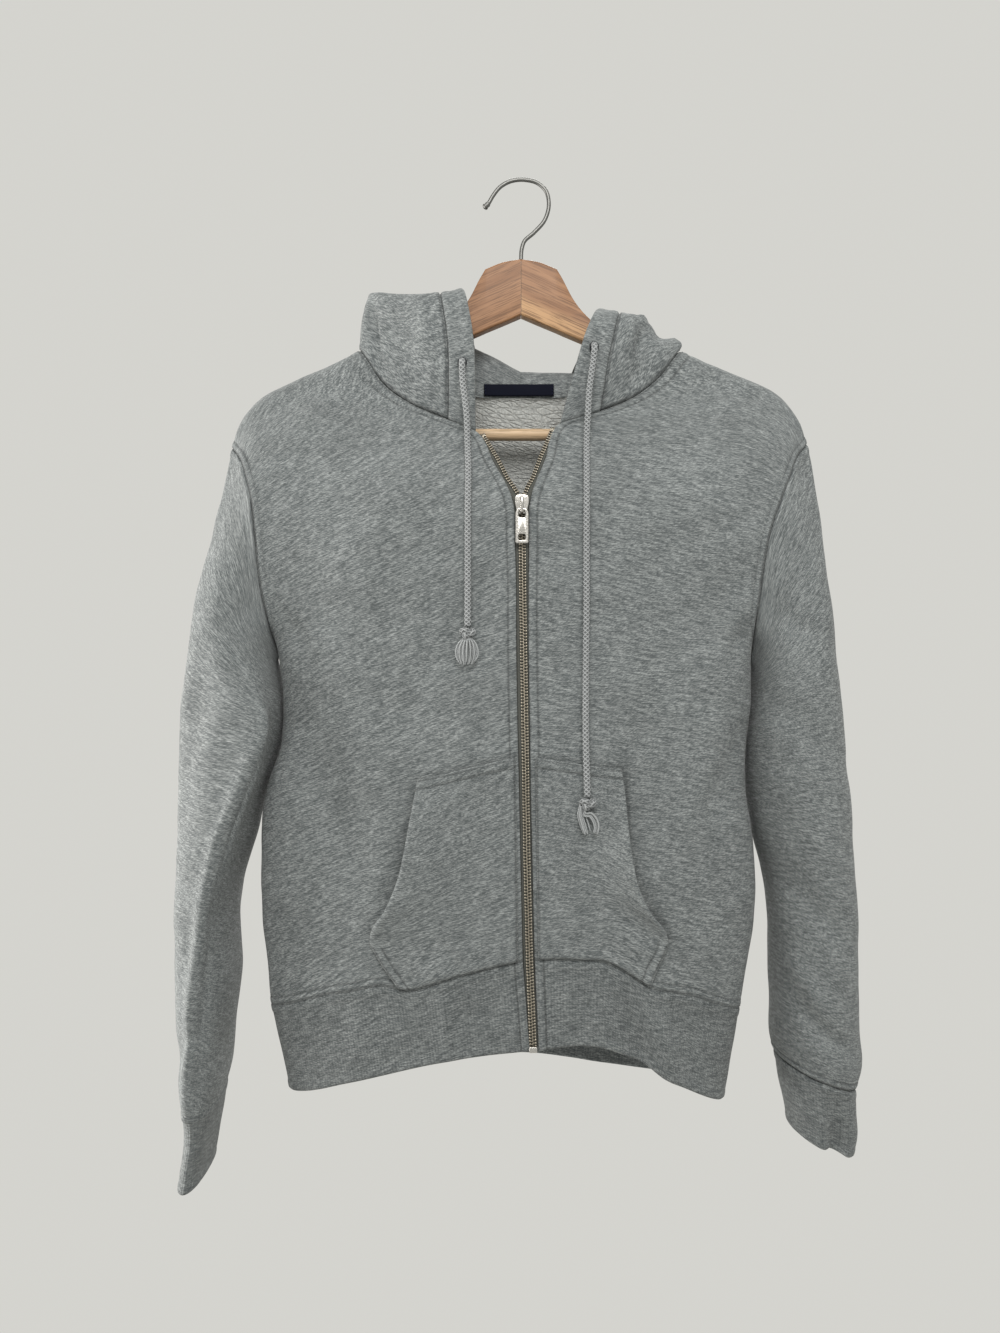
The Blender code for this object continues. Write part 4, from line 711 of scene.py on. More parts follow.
def join_body(fronts, back, hem):
    """The side, shoulder and hem seams."""
    top, last_front, last_back = len(back.points) - 1, len(FRONT_ACROSS) - 1, back.points.shape[1] - 1
    below_arm = range(ARMPIT_ROW + 1)
    for side, back_edge in ((-1, 0), (1, last_back)):
        share_seam(fronts[side], [(r, last_front) for r in below_arm], back,
                   [(r, back_edge) for r in below_arm])
        fronts[side].out[ARMPIT_ROW, last_front] = back.out[ARMPIT_ROW, back_edge] = (0, 0, -1)
        for column in range(len(FRONT_ACROSS)):
            fronts[side].out[top, column] = shoulder_direction(side)
        for column in range(NECK_COLUMN, len(BACK_ACROSS)):
            back.out[top, last_back // 2 + side * column] = shoulder_direction(side)
    columns = hem.points.shape[1]
    hem_top = len(hem.points) - 1
    across, round_back = len(FRONT_ACROSS), back.points.shape[1]
    share_seam(hem, [(hem_top, c) for c in range(across)], fronts[-1], [(0, c) for c in range(across)])
    share_seam(hem, [(hem_top, across - 1 + c) for c in range(1, round_back - 1)],
               back, [(0, c) for c in range(1, round_back - 1)])
    share_seam(hem, [(hem_top, columns - 1 - c) for c in range(across)], fronts[1],
               [(0, c) for c in range(across)])


def join_centre(halves, places):
    """Keep the wall directions of two halves in the middle plane, where they are joined."""
    share_seam(halves[-1], places, halves[1], places)
    for half in halves.values():
        for place in places:
            half.out[place][0] = 0
            length = np.linalg.norm(half.out[place])
            half.out[place] = half.out[place] / length if length > 0.1 else (0, 0, -1)


def shoulder_direction(side):
    slope = np.array(SHOULDER_TIP[side], float) - np.array(NECK_POINT[side], float)
    out = np.array((-slope[2], 0, slope[0])) * math.copysign(1, slope[0])
    return out / np.linalg.norm(out)


def join_sleeve(front, back, sleeve, side):
    """The armhole seam."""
    rows = range(ARMPIT_ROW, len(front.points))
    across = front.points.shape[1] - 1
    back_edge = 0 if side == -1 else back.points.shape[1] - 1
    count = sleeve.points.shape[1]
    share_seam(front, [(r, across) for r in rows], sleeve, [(0, r - ARMPIT_ROW) for r in rows])
    lower = range(ARMPIT_ROW + 1, len(front.points) - 1)
    share_seam(back, [(r, back_edge) for r in lower], sleeve, [(0, count - (r - ARMPIT_ROW)) for r in lower])
    sleeve.out[0, 0] = front.out[ARMPIT_ROW, across] = back.out[ARMPIT_ROW, back_edge] = (0, 0, -1)
    back.out[-1, back_edge] = front.out[-1, across]


# ---------------------------------------------------------------- fine cloth
NEAR_EDGE = (0, 0.7, 1.5, 2.4, 3.6, 4.8, 5.7, 6.5, 7.3, 8.2, 9.2, 10.3, 11.5, 13)


def smooth_along(values, knots, samples):
    """Values on a smooth curve through those at the knots, along the first axis."""
    slopes = np.gradient(values, knots, axis=0)
    i = np.clip(np.searchsorted(knots, samples, side="right") - 1, 0, len(knots) - 2)
    step = (knots[i + 1] - knots[i])[:, None, None]
    t = (samples - knots[i])[:, None, None] / step
    start = values[i] * (2 * t ** 3 - 3 * t ** 2 + 1) + slopes[i] * step * (t ** 3 - 2 * t ** 2 + t)
    return start + values[i + 1] * (3 * t ** 2 - 2 * t ** 3) + slopes[i + 1] * step * (t ** 3 - t ** 2)


def spread(length, cell):
    """Places along a length, close together near both ends."""
    near = np.array(NEAR_EDGE, float) * min(1, length / 34)
    count = max(int((length - 2 * near[-1]) / cell), 1)
    middle = np.linspace(near[-1], length - near[-1], count + 1)[1:-1]
    return np.concatenate([near, middle, length - near[::-1]])


class Cloth:
    """A finely divided sheet: its points, the direction out of it and its lengths along both ways."""

    def __init__(self, sheet, cell):
        points, out = sheet.points, sheet.out
        self.ring = sheet.ring
        both = np.concatenate([points, out], axis=2)
        if self.ring:
            count = points.shape[1]
            order = np.arange(-4, count + 5) % count
            both = both[:, order]
        steps = np.linalg.norm(np.diff(both[:, :, :3], axis=1), axis=2).mean(axis=0)
        knots = np.concatenate([[0], np.cumsum(steps)])
        if self.ring:
            knots -= knots[4]
            self.width = knots[4 + count]
            self.across = np.linspace(0, self.width, max(int(self.width / cell), 24), endpoint=False)
        else:
            self.width = knots[-1]
            self.across = spread(self.width, cell)
        both = smooth_along(both.transpose(1, 0, 2), knots, self.across).transpose(1, 0, 2)
        rises = np.linalg.norm(np.diff(points, axis=0), axis=2).mean(axis=1)
        heights = np.concatenate([[0], np.cumsum(rises)])
        self.up = spread(heights[-1], cell)
        both = smooth_along(both, heights, self.up)
        self.points = both[:, :, :3]
        self.out = both[:, :, 3:]
        self.out = unit(self.out)

    def from_edge(self, edge):
        """The true distance of every point from one edge."""
        axis = 0 if edge in ("bottom", "top") else 1
        points = self.points if edge in ("bottom", "start") else np.flip(self.points, axis)
        steps = np.linalg.norm(np.diff(points, axis=axis), axis=2)
        lengths = np.cumsum(steps, axis=axis)
        lengths = np.concatenate([np.zeros_like(np.take(lengths, [0], axis=axis)), lengths], axis=axis)
        return lengths if edge in ("bottom", "start") else np.flip(lengths, axis)

    def line(self, edge, distance, start=0.0, end=1.0):
        """Points and directions along an edge, at a distance inside it, from one share to another."""
        lengths = self.from_edge(edge)
        points, out = self.points + self.out * self.lift[:, :, None], self.out
        if edge in ("bottom", "top"):
            points, out, lengths = points.transpose(1, 0, 2), out.transpose(1, 0, 2), lengths.T
        if edge in ("top", "end"):
            points, out, lengths = points[:, ::-1], out[:, ::-1], lengths[:, ::-1]
        path, ways = [], []
        first, last = int(start * (len(points) - 1)), int(round(end * (len(points) - 1)))
        for k in range(first, last + 1):
            i = min(max(int(np.searchsorted(lengths[k], distance)), 1), lengths.shape[1] - 1)
            t = (distance - lengths[k, i - 1]) / max(lengths[k, i] - lengths[k, i - 1], 1e-6)
            path.append(points[k, i - 1] + (points[k, i] - points[k, i - 1]) * t)
            ways.append(out[k, i - 1] + (out[k, i] - out[k, i - 1]) * t)
        if self.ring and edge in ("bottom", "top"):
            path.append(path[0])
            ways.append(ways[0])
        return np.array(path), np.array(ways)


def to_segments(points, line):
    """The distance of points from a line of segments, and how far along it the nearest place is."""
    best = np.full(points.shape[:-1], 1e9)
    along = np.zeros(points.shape[:-1])
    line = np.array(line, float)
    lengths = np.linalg.norm(np.diff(line, axis=0), axis=1)
    total, before = lengths.sum(), 0.0
    for a, b, length in zip(line[:-1], line[1:], lengths):
        way = (b - a) / length
        t = np.clip((points - a) @ way, 0, length)
        offset = points - (a + t[..., None] * way)
        distance = np.linalg.norm(offset, axis=-1)
        nearer = distance < best
        best = np.where(nearer, distance, best)
        along = np.where(nearer, (before + t) / total, along)
        before += length
    return best, along


def swell(distance, reach, power=2):
    """A smooth hump: 1 in its middle, falling away within its reach."""
    return np.exp(-(distance / reach) ** power)


def uneven(points, seed, reach, size):
    """A soft unevenness of the cloth."""
    waves = np.random.default_rng(seed)
    value = np.zeros(points.shape[:-1])
    for _ in range(7):
        way = waves.normal(size=3)
        way *= 2 * math.pi / (np.linalg.norm(way) * reach * waves.uniform(0.6, 1.6))
        value += np.sin(points @ way + waves.uniform(0, 6.28))
    return value * size / 7 ** 0.5


def in_scene(name, data):
    """An object that shows some data, in the scene."""
    made = bpy.data.objects.new(name, data)
    bpy.context.scene.collection.objects.link(made)
    return made


def mesh_object(name, points, faces, finishes, which=None, uv=None):
    """A smooth mesh object from points in millimetres."""
    mesh = bpy.data.meshes.new(name)
    mesh.from_pydata((np.asarray(points, float) * MM).tolist(), [], faces)
    for finish in finishes:
        mesh.materials.append(finish)
    mesh.polygons.foreach_set("use_smooth", [True] * len(mesh.polygons))
    if which is not None:
        mesh.polygons.foreach_set("material_index", which)
    if uv is not None:
        layer = mesh.uv_layers.new(name="cloth")
        layer.data.foreach_set("uv", np.asarray(uv, float).ravel())
    mesh.validate()
    shaped = bmesh.new()
    shaped.from_mesh(mesh)
    bmesh.ops.recalc_face_normals(shaped, faces=shaped.faces)
    shaped.to_mesh(mesh)
    shaped.free()
    return in_scene(name, mesh)


def wall_object(name, cloth, thickness, outside, inside):
    """The closed wall of a cloth, with its outer and inner face and the cloth's own coordinates."""
    outer = cloth.points + cloth.out * cloth.lift[:, :, None]
    inner = cloth.points - cloth.out * (thickness - cloth.inner_lift[:, :, None])
    rows, columns = outer.shape[:2]
    half = rows * columns
    spans = columns if cloth.ring else columns - 1
    across = np.append(cloth.across, cloth.width) * MM
    up = cloth.up * MM
    faces, uv, which = [], [], []

    def add(corners, places, kind):
        faces.append(corners)
        uv.extend(places)
        which.append(kind)

    for r in range(rows - 1):
        for c in range(spans):
            n = (c + 1) % columns
            a, b, d, e = r * columns + c, r * columns + n, (r + 1) * columns + n, (r + 1) * columns + c
            places = [(across[c + i], up[r + j]) for i, j in ((0, 0), (1, 0), (1, 1), (0, 1))]
            add((a, b, d, e), places, 0)
            add((half + e, half + d, half + b, half + a), places[::-1], 1)
    for r in (0, rows - 1):
        for c in range(spans):
            n = (c + 1) % columns
            a, b = r * columns + c, r * columns + n
            add((a, half + a, half + b, b), [(across[c], up[r])] * 2 + [(across[c + 1], up[r])] * 2, 0)
    if not cloth.ring:
        for c in (0, columns - 1):
            for r in range(rows - 1):
                a, b = r * columns + c, (r + 1) * columns + c
                add((a, b, half + b, half + a), [(across[c], up[r]), (across[c], up[r + 1])] * 2, 0)
    points = np.concatenate([outer.reshape(-1, 3), inner.reshape(-1, 3)])
    wall = mesh_object(name, points, faces, [outside, inside], which, uv)
    # The painted shade of the seams, stitch rows and pockets' edges, on the outer face only.
    lines = wall.data.attributes.new("painted_seam_shade", "FLOAT", "POINT")
    lines.data.foreach_set("value", np.concatenate([cloth.lines.ravel(), np.zeros(half)]))
    return wall


# ---------------------------------------------------------------- materials
class Shader:
    """A material's node tree, with short ways to add nodes."""

    def __init__(self, name, roughness=0.9, metallic=0.0):
        self.material = bpy.data.materials.new(name)
        self.material.use_nodes = True
        self.tree = self.material.node_tree
        self.main = self.tree.nodes["Principled BSDF"]
        self.main.inputs["Roughness"].default_value = roughness
        self.main.inputs["Metallic"].default_value = metallic
        self.main.inputs["Specular IOR Level"].default_value = 0.3

    def node(self, kind, inputs=(), **settings):
        made = self.tree.nodes.new("ShaderNode" + kind)
        for key, value in settings.items():
            setattr(made, key, value)
        for key, value in dict(inputs).items():
            if isinstance(value, bpy.types.NodeSocket):
                self.tree.links.new(value, made.inputs[key])
            else:
                made.inputs[key].default_value = value
        return made

    def math(self, operation, first, second=0.0):
        return self.node("Math", {0: first, 1: second}, operation=operation).outputs[0]

    def times(self, first, second):
        return self.math("MULTIPLY", first, second)

    def plus(self, first, second):
        return self.math("ADD", first, second)

    def cloth(self):
        return self.node("UVMap", uv_map="cloth").outputs["UV"]

    def place(self):
        return self.node("TexCoord").outputs["Object"]

    def stretched(self, vector, turn, length, width):
        """A vector turned about Z and then scaled, so that 1 is a length and a width in millimetres."""
        turned = self.node("Mapping", {"Vector": vector, "Rotation": (0, 0, turn)}).outputs["Vector"]
        scale = (1 / length / MM, 1 / width / MM, 1)
        return self.node("Mapping", {"Vector": turned, "Scale": scale}).outputs[0]

    def noise(self, vector, scale=1.0, detail=2.0, roughness=0.5):
        return self.node("TexNoise", {"Vector": vector, "Scale": scale, "Detail": detail,
                                      "Roughness": roughness}).outputs["Fac"]

    def blend(self, fac, first, second):
        mix = self.node("Mix", data_type="RGBA")
        sockets = {s.identifier: s for s in mix.inputs}
        for key, value in (("Factor_Float", fac), ("A_Color", first), ("B_Color", second)):
            if isinstance(value, bpy.types.NodeSocket):
                self.tree.links.new(value, sockets[key])
            elif key == "Factor_Float":
                sockets[key].default_value = value
            else:
                sockets[key].default_value = (*value, 1)
        return next(s for s in mix.outputs if s.identifier == "Result_Color")

    def between(self, value, low, high, start=0.0, end=1.0):
        made = self.node("MapRange", {"Value": value, "From Min": low, "From Max": high, "To Min": start,
                                      "To Max": end})
        return made.outputs["Result"]

    def colour(self, socket):
        self.tree.links.new(socket, self.main.inputs["Base Color"])

    def bump(self, height, distance, strength=1.0):
        made = self.node("Bump", {"Height": height, "Distance": distance, "Strength": strength})
        self.tree.links.new(made.outputs["Normal"], self.main.inputs["Normal"])


MARL_DARK = (0.066, 0.075, 0.078)
MARL_MIDDLE = (0.138, 0.151, 0.153)
MARL_LIGHT = (0.32, 0.338, 0.337)
# Fibres of the marl: length and width in millimetres, and how much each size shows.
FIBRES = ((2.6, 0.55, 0.44), (6, 1.1, 0.34), (16, 3.0, 0.22))


def marl(name, turn=0.0, shade=1.0, rib=0.0):
    """Grey marl knit: streaks of dark and light fibre along its rows, ribs with painted shade in their
    grooves if it has any, and painted shade in its seams, along its stitches and beside its pockets.
    """
    cloth = Shader(name, 0.93)
    cloth.main.inputs["Sheen Weight"].default_value = 0.10
    cloth.main.inputs["Sheen Roughness"].default_value = 0.6
    at = cloth.cloth()
    mixed = None
    for i, (length, width, share) in enumerate(FIBRES):
        spun = cloth.stretched(at, turn + 0.25 * (i - 1), length, width)
        streaks = cloth.times(cloth.noise(spun, 1.0, 2.0, 0.6), share)
        mixed = streaks if mixed is None else cloth.plus(mixed, streaks)
    specks = cloth.noise(cloth.stretched(at, 0, 0.8, 0.8), 1.0, 2.0, 0.6)
    patches = cloth.noise(cloth.stretched(at, turn, 60, 28), 1.0, 2.0, 0.5)
    colour = cloth.blend(cloth.between(mixed, 0.51, 0.40), tuple(shade * c for c in MARL_MIDDLE),
                         tuple(shade * c for c in MARL_DARK))
    colour = cloth.blend(cloth.between(mixed, 0.49, 0.63), colour, tuple(shade * c for c in MARL_LIGHT))
    tone_and_shade = cloth.between(specks, 0.3, 0.7, 0.84, 1.16)
    tone_and_shade = cloth.times(tone_and_shade, cloth.between(patches, 0.35, 0.65, 0.93, 1.07))
    height = cloth.plus(cloth.times(specks, 0.4), cloth.times(mixed, 0.8))
    if rib:
        across = cloth.node("SeparateXYZ", {0: at}).outputs[0]
        wave = cloth.math("SINE", cloth.times(across, 2 * math.pi * 1000 / rib))
        # The grooves between the ribs are darker: painted shade, where the bump also sinks them.
        tone_and_shade = cloth.times(tone_and_shade, cloth.between(wave, -1, 0.6, 0.88, 1.03))
        height = cloth.plus(height, cloth.times(wave, 0.7))
    # Painted shade in the seams, along the stitch rows and beside the pockets darkens the knit by up to a
    # half.
    along_seams = cloth.node("Attribute", attribute_type="GEOMETRY", attribute_name="painted_seam_shade").outputs["Fac"]
    tone_and_shade = cloth.times(tone_and_shade, cloth.between(along_seams, 0, 1, 1.0, 0.5))
    scale = cloth.node("CombineXYZ", {0: tone_and_shade, 1: tone_and_shade, 2: tone_and_shade}).outputs[0]
    scaled = cloth.node("VectorMath", {0: colour, 1: scale}, operation="MULTIPLY").outputs["Vector"]
    cloth.colour(scaled)
    cloth.bump(height, 0.00028, 0.55)
    return cloth.material


def fleece(name):
    """The looped inside of the knit."""
    cloth = Shader(name, 0.97)
    at = cloth.cloth()
    loops = cloth.node("TexVoronoi", {"Vector": cloth.stretched(at, 0, 1.6, 2.4),
                                      "Scale": 1.0}).outputs["Distance"]
    specks = cloth.noise(cloth.stretched(at, 0, 1.2, 2.0), 1.0, 3.0, 0.6)
    fac = cloth.plus(cloth.times(loops, 0.7), cloth.times(specks, 0.6))
    cracks = cloth.node("TexVoronoi", {"Vector": cloth.stretched(at, 0.3, 9, 3.2),
                                       "Scale": 1.0}, feature="DISTANCE_TO_EDGE").outputs["Distance"]
    colour = cloth.blend(cloth.between(fac, 0.3, 0.95), (0.52, 0.53, 0.51), (0.36, 0.37, 0.36))
    # The cracks of the pile are darker: painted shade, where the bump also sinks them.
    colour = cloth.blend(cloth.between(cracks, 0.09, 0.0, 0.0, 0.5), colour, (0.22, 0.225, 0.22))
    cloth.colour(colour)
    height = cloth.plus(fac, cloth.between(cracks, 0.0, 0.2, 0.0, 0.9))
    cloth.bump(height, 0.0010, 0.8)
    return cloth.material


def plain_fibre(name, colour, across=0.8, along=0.8, contrast=0.25, depth=0.0003):
    cloth = Shader(name, 0.85)
    cloth.main.inputs["Specular IOR Level"].default_value = 0.15
    at = cloth.cloth()
    threads = cloth.noise(cloth.stretched(at, 0, across, along), 1.0, 2.0, 0.6)
    low, high = np.array(colour) * (1 - contrast), np.minimum(np.array(colour) * (1 + contrast), 1)
    cloth.colour(cloth.blend(cloth.between(threads, 0.3, 0.7), tuple(low), tuple(high)))
    cloth.bump(threads, depth, 0.8)
    return cloth.material


BRAID_PITCH = 3.4


def braid(name):
    """A round herringbone braid: u runs round the cord and v along it."""
    cloth = Shader(name, 0.85)
    split = cloth.node("SeparateXYZ", {0: cloth.cloth()})
    around, along = split.outputs[0], split.outputs[1]
    turns = [cloth.math("SINE", cloth.math(way, cloth.times(around, 2 * math.pi * 4),
                                           cloth.times(along, 2 * math.pi / BRAID_PITCH / MM)))
             for way in ("ADD", "SUBTRACT")]
    strands = cloth.math("MAXIMUM", *turns)
    fibre = cloth.noise(cloth.stretched(cloth.cloth(), 0, 1000 / 18, 0.7), 1.0, 2.0, 0.6)
    # The strands are lighter on their crests and darker in the grooves between them: painted light and shade
    # over the bump, with real fibre tone from the noise.
    fac = cloth.plus(cloth.between(strands, -0.6, 1.0, 0, 0.75), cloth.times(fibre, 0.3))
    cloth.colour(cloth.blend(fac, (0.105, 0.113, 0.118), (0.38, 0.395, 0.40)))
    cloth.bump(strands, 0.0006, 1.0)
    return cloth.material


def metal(name, colour, roughness, grain=0.0004):
    shiny = Shader(name, roughness, 1.0)
    at = shiny.place()
    rubbed = shiny.noise(at, 900.0, 3.0, 0.6)
    low, high = np.array(colour) * 0.82, np.minimum(np.array(colour) * 1.08, 1)
    shiny.colour(shiny.blend(shiny.between(rubbed, 0.3, 0.7), tuple(low), tuple(high)))
    shiny.tree.links.new(shiny.between(rubbed, 0.3, 0.7, roughness * 0.8, roughness * 1.3),
                         shiny.main.inputs["Roughness"])
    shiny.bump(rubbed, grain, 0.15)
    return shiny.material


# The wood's rings, pores and broad shades: stretched along the board, in detail and roughness.
GRAINS = (((9, 120, 160), 4.0, 0.6), ((40, 1100, 1100), 3.0, 0.6), ((3, 30, 34), 2.0, 0.5))


def wood(name, light, dark, slope, line=0.0, pale=None):
    """Lacquered wood whose grain runs at a slope in the XZ plane."""
    board = Shader(name, 0.5)
    board.main.inputs["Specular IOR Level"].default_value = 0.3
    board.main.inputs["Coat Weight"].default_value = 0.06
    board.main.inputs["Coat Roughness"].default_value = 0.3
    at = board.node("Mapping", {"Vector": board.place(), "Rotation": (0, slope, 0)}).outputs["Vector"]
    rings, pores, broad = (
        board.noise(board.node("Mapping", {"Vector": at, "Scale": scale}).outputs[0], 1.0, detail, roughness)
        for scale, detail, roughness in GRAINS)
    fac = board.plus(board.times(rings, 0.65), board.times(broad, 0.35))
    colour = board.blend(board.between(fac, 0.36, 0.64), dark, light)
    if pale is not None:
        height = board.node("SeparateXYZ", {0: at}).outputs[2]
        colour = board.blend(board.between(height, line + 0.004, line - 0.004), colour, pale)
    colour = board.blend(board.between(pores, 0.48, 0.62, 0, 0.7), colour, tuple(np.array(dark) * 0.5))
    board.colour(colour)
    board.bump(pores, 0.0002, 0.35)
    return board.material


# ---------------------------------------------------------------- creases
# Soft troughs and ridges of the cloth: the side it is seen from ("any" for both), its half
# width, its height (troughs are negative) and its line of x and z.
CREASE_SCALE = 1.6
BODY_CREASES = (
    ("front", 27, 2.6, ((-90, -262), (-128, -335), (-158, -415))),
    ("front", 20, -2.4, ((-26, -356), (-70, -420), (-106, -478))),
    ("front", 22, -3.4, ((-192, -458), (-165, -508), (-134, -578))),
    ("front", 17, 2.0, ((-143, -418), (-122, -470), (-112, -530))),
    ("front", 15, 1.6, ((-36, -470), (-60, -528), (-66, -590))),
    ("front", 20, -2.2, ((146, -330), (128, -400), (104, -470))),
    ("front", 15, 1.8, ((72, -400), (78, -460), (72, -520))),
    ("front", 19, 2.4, ((170, -396), (158, -466), (140, -536))),
    ("front", 12, -2.0, ((186, -470), (160, -520), (150, -570))),
    ("front", 14, -1.8, ((-190, -330), (-160, -372), (-140, -398))),
    ("front", 13, -1.8, ((186, -335), (164, -370), (150, -398))),
    ("front", 9, -1.6, ((-205, -372), (-182, -398), (-168, -430))),
    ("front", 9, -1.5, ((192, -380), (176, -404), (166, -430))),
    ("front", 8, 1.5, ((-110, -560), (-122, -610), (-104, -640))),
    ("front", 10, 2.2, ((-92, -655), (-74, -664), (-52, -656))),
    ("front", 4, -2.4, ((-64, -642), (-57, -652), (-51, -664))),
    ("front", 8, 2.0, ((88, -640), (104, -648), (112, -640))),
    ("front", 7, -3.0, ((76, -684), (88, -716), (97, -745))),
    ("front", 8, 3.0, ((98, -684), (110, -716), (120, -752))),
    ("front", 7, -2.0, ((124, -690), (134, -720), (138, -756))),
    ("front", 6, -1.6, ((-52, -676), (-47, -700), (-44, -724))),
    ("front", 7, 1.6, ((-66, -680), (-62, -704), (-60, -730))),
    ("front", 8, 1.4, ((-136, -690), (-130, -716), (-132, -744))),
    ("front", 6, -1.5, ((44, -668), (48, -694), (46, -718))),
    ("front", 5, -2.2, ((158, -164), (162, -172), (166, -184))),
    ("front", 12, 1.8, ((150, -184), (176, -204), (196, -238))),
    ("front", 12, 1.6, ((-152, -186), (-180, -210), (-198, -244))),
    ("back", 24, 2.4, ((-60, -240), (-110, -300), (-160, -372))),
    ("back", 24, 2.4, ((66, -236), (112, -300), (158, -366))),
    ("back", 20, -2.6, ((-20, -330), (-50, -420), (-96, -500))),
    ("back", 22, -2.4, ((40, -340), (64, -430), (120, -520))),
    ("back", 18, 2.0, ((-160, -440), (-120, -520), (-110, -600))),
    ("back", 18, 2.0, ((150, -450), (110, -540), (100, -620))),
    ("back", 26, -2.0, ((0, -480), (10, -560), (-10, -650))),
    ("back", 8, -1.8, ((-90, -690), (-84, -720), (-88, -760))),
    ("back", 8, 1.8, ((-40, -690), (-44, -720), (-40, -764))),
    ("back", 8, -1.6, ((70, -690), (76, -724), (72, -764))),
)
SLEEVE_CREASES = (
    ("front", 5, 3.4, ((-200, -452), (-204.8, -469), (-223, -513), (-244, -561), (-256, -618), (-265, -685),
                       (-273, -790))),
    ("front", 6, -2.6, ((-200, -480), (-212, -509), (-230, -561), (-243, -618), (-253, -685), (-262, -775))),
    ("any", 26, 1.3, ((-196, -400), (-199, -450), (-205, -500))),
    ("any", 26, 1.0, ((196, -400), (199, -440), (203, -490))),
    ("front", 12, -3.0, ((-258, -420), (-270, -470), (-276, -506), (-278, -560))),
    ("front", 14, 2.0, ((-236, -300), (-246, -360), (-250, -420))),
    ("front", 9, -2.2, ((-214, -352), (-232, -384), (-254, -404))),
    ("front", 10, -2.2, ((-276, -600), (-268, -640), (-278, -690))),
    ("front", 7, -2.0, ((-262, -716), (-276, -730), (-288, -756))),
    ("front", 9, -2.4, ((206, -372), (226, -392), (250, -404))),
    ("front", 13, 2.2, ((226, -300), (240, -360), (248, -430))),
    ("front", 12, -2.6, ((206, -452), (232, -478), (262, -504))),
    ("front", 12, 2.2, ((214, -520), (236, -556), (258, -600))),
    ("front", 11, -2.4, ((216, -590), (236, -622), (262, -650))),
    ("front", 8, 2.4, ((222, -660), (238, -690), (262, -716))),
    ("front", 7, -2.4, ((226, -700), (244, -722), (270, -742))),
    ("back", 12, -2.6, ((-206, -400), (-234, -430), (-262, -450))),
    ("back", 12, 2.4, ((-222, -500), (-246, -540), (-266, -590))),
    ("back", 10, -2.4, ((-236, -620), (-262, -650), (-284, -690))),
    ("back", 12, -2.6, ((204, -410), (230, -440), (256, -456))),
    ("back", 12, 2.4, ((216, -520), (238, -560), (256, -610))),
    ("back", 10, -2.4, ((222, -640), (246, -676), (268, -706))),
)
HOOD_CREASES = (
    ("front", 4.5, -4.5, ((107, -136), (102, -147), (97, -160))),
    ("front", 6, -2.0, ((109, -153), (103, -171), (92, -186))),
    ("front", 7, 2.4, ((92, -128), (90, -146), (84, -164))),
    ("front", 7, 2.0, ((122, -150), (116, -164), (104, -182))),
    ("any", 10, -6.0, ((114, -132), (124, -136), (132, -140))),
    ("any", 7, 3.0, ((100, -122), (104, -124), (108, -128))),
    ("any", 4.5, -4.0, ((-130, -104), (-127, -128), (-121, -166))),
    ("front", 7, -2.4, ((-104, -118), (-102, -146), (-99, -186))),
    ("front", 8, 2.0, ((-84, -124), (-80, -150), (-76, -182))),
    ("front", 6, -1.8, ((-118, -116), (-114, -134), (-112, -156))),
    ("back", 12, -3.0, ((-90, -150), (-76, -220), (-40, -290))),
    ("back", 12, -3.0, ((92, -160), (76, -226), (40, -292))),
    ("back", 10, 2.6, ((-64, -170), (-50, -236), (-20, -300))),
    ("back", 10, 2.6, ((66, -176), (50, -240), (22, -300))),
)
# Hollows of the fronts along the pockets' openings.
BESIDE_POCKETS = (
    ("front", 4, -1.8, ((80, -500), (84, -520), (89, -560), (98, -600), (113, -630))),
    ("front", 5, -1.2, ((-84, -500), (-88, -530), (-94, -570), (-106, -606), (-122, -632))),
)
CREASES = {"hood": HOOD_CREASES, "hood_band": HOOD_CREASES,
           "sleeve": SLEEVE_CREASES, "cuff": SLEEVE_CREASES}


# ---------------------------------------------------------------- the garment
# What each edge of a piece is: a seam sinks, and a free edge is turned in and rounded.
EDGES = {
    "front": {"bottom": "seam", "top": "seam", "end": "seam", "start": "edge"},
    "back": {"bottom": "seam", "top": "seam", "start": "seam", "end": "seam"},
    "sleeve": {"bottom": "seam", "top": "seam"},
    "cuff": {"bottom": "seam", "top": "edge"},
    "hem_rib": {"top": "seam", "bottom": "edge", "start": "edge", "end": "edge"},
    "hood": {"bottom": "seam", "start": "seam", "end": "seam", "top": "seam"},
    "hood_band": {"start": "edge", "end": "seam", "bottom": "edge", "top": "seam"},
    "pocket": {"bottom": "edge", "top": "edge", "start": "edge", "end": "edge"},
}
# The size of the fine cells of each kind of piece, and the walls that aren't as thick as CLOTH.
CELLS = {"front": 3.6, "back": 4.6, "sleeve": 4.2, "cuff": 2.6, "hem_rib": 3.4, "hood": 4.0,
         "hood_band": 4.0, "pocket": 3.2}
THICKNESS = {"cuff": RIB_CLOTH, "hem_rib": RIB_CLOTH, "hood": HOOD_CLOTH, "hood_band": BAND_CLOTH}
NECK_SHARE, POCKET_SIDE_SHARE = 0.80, 0.27
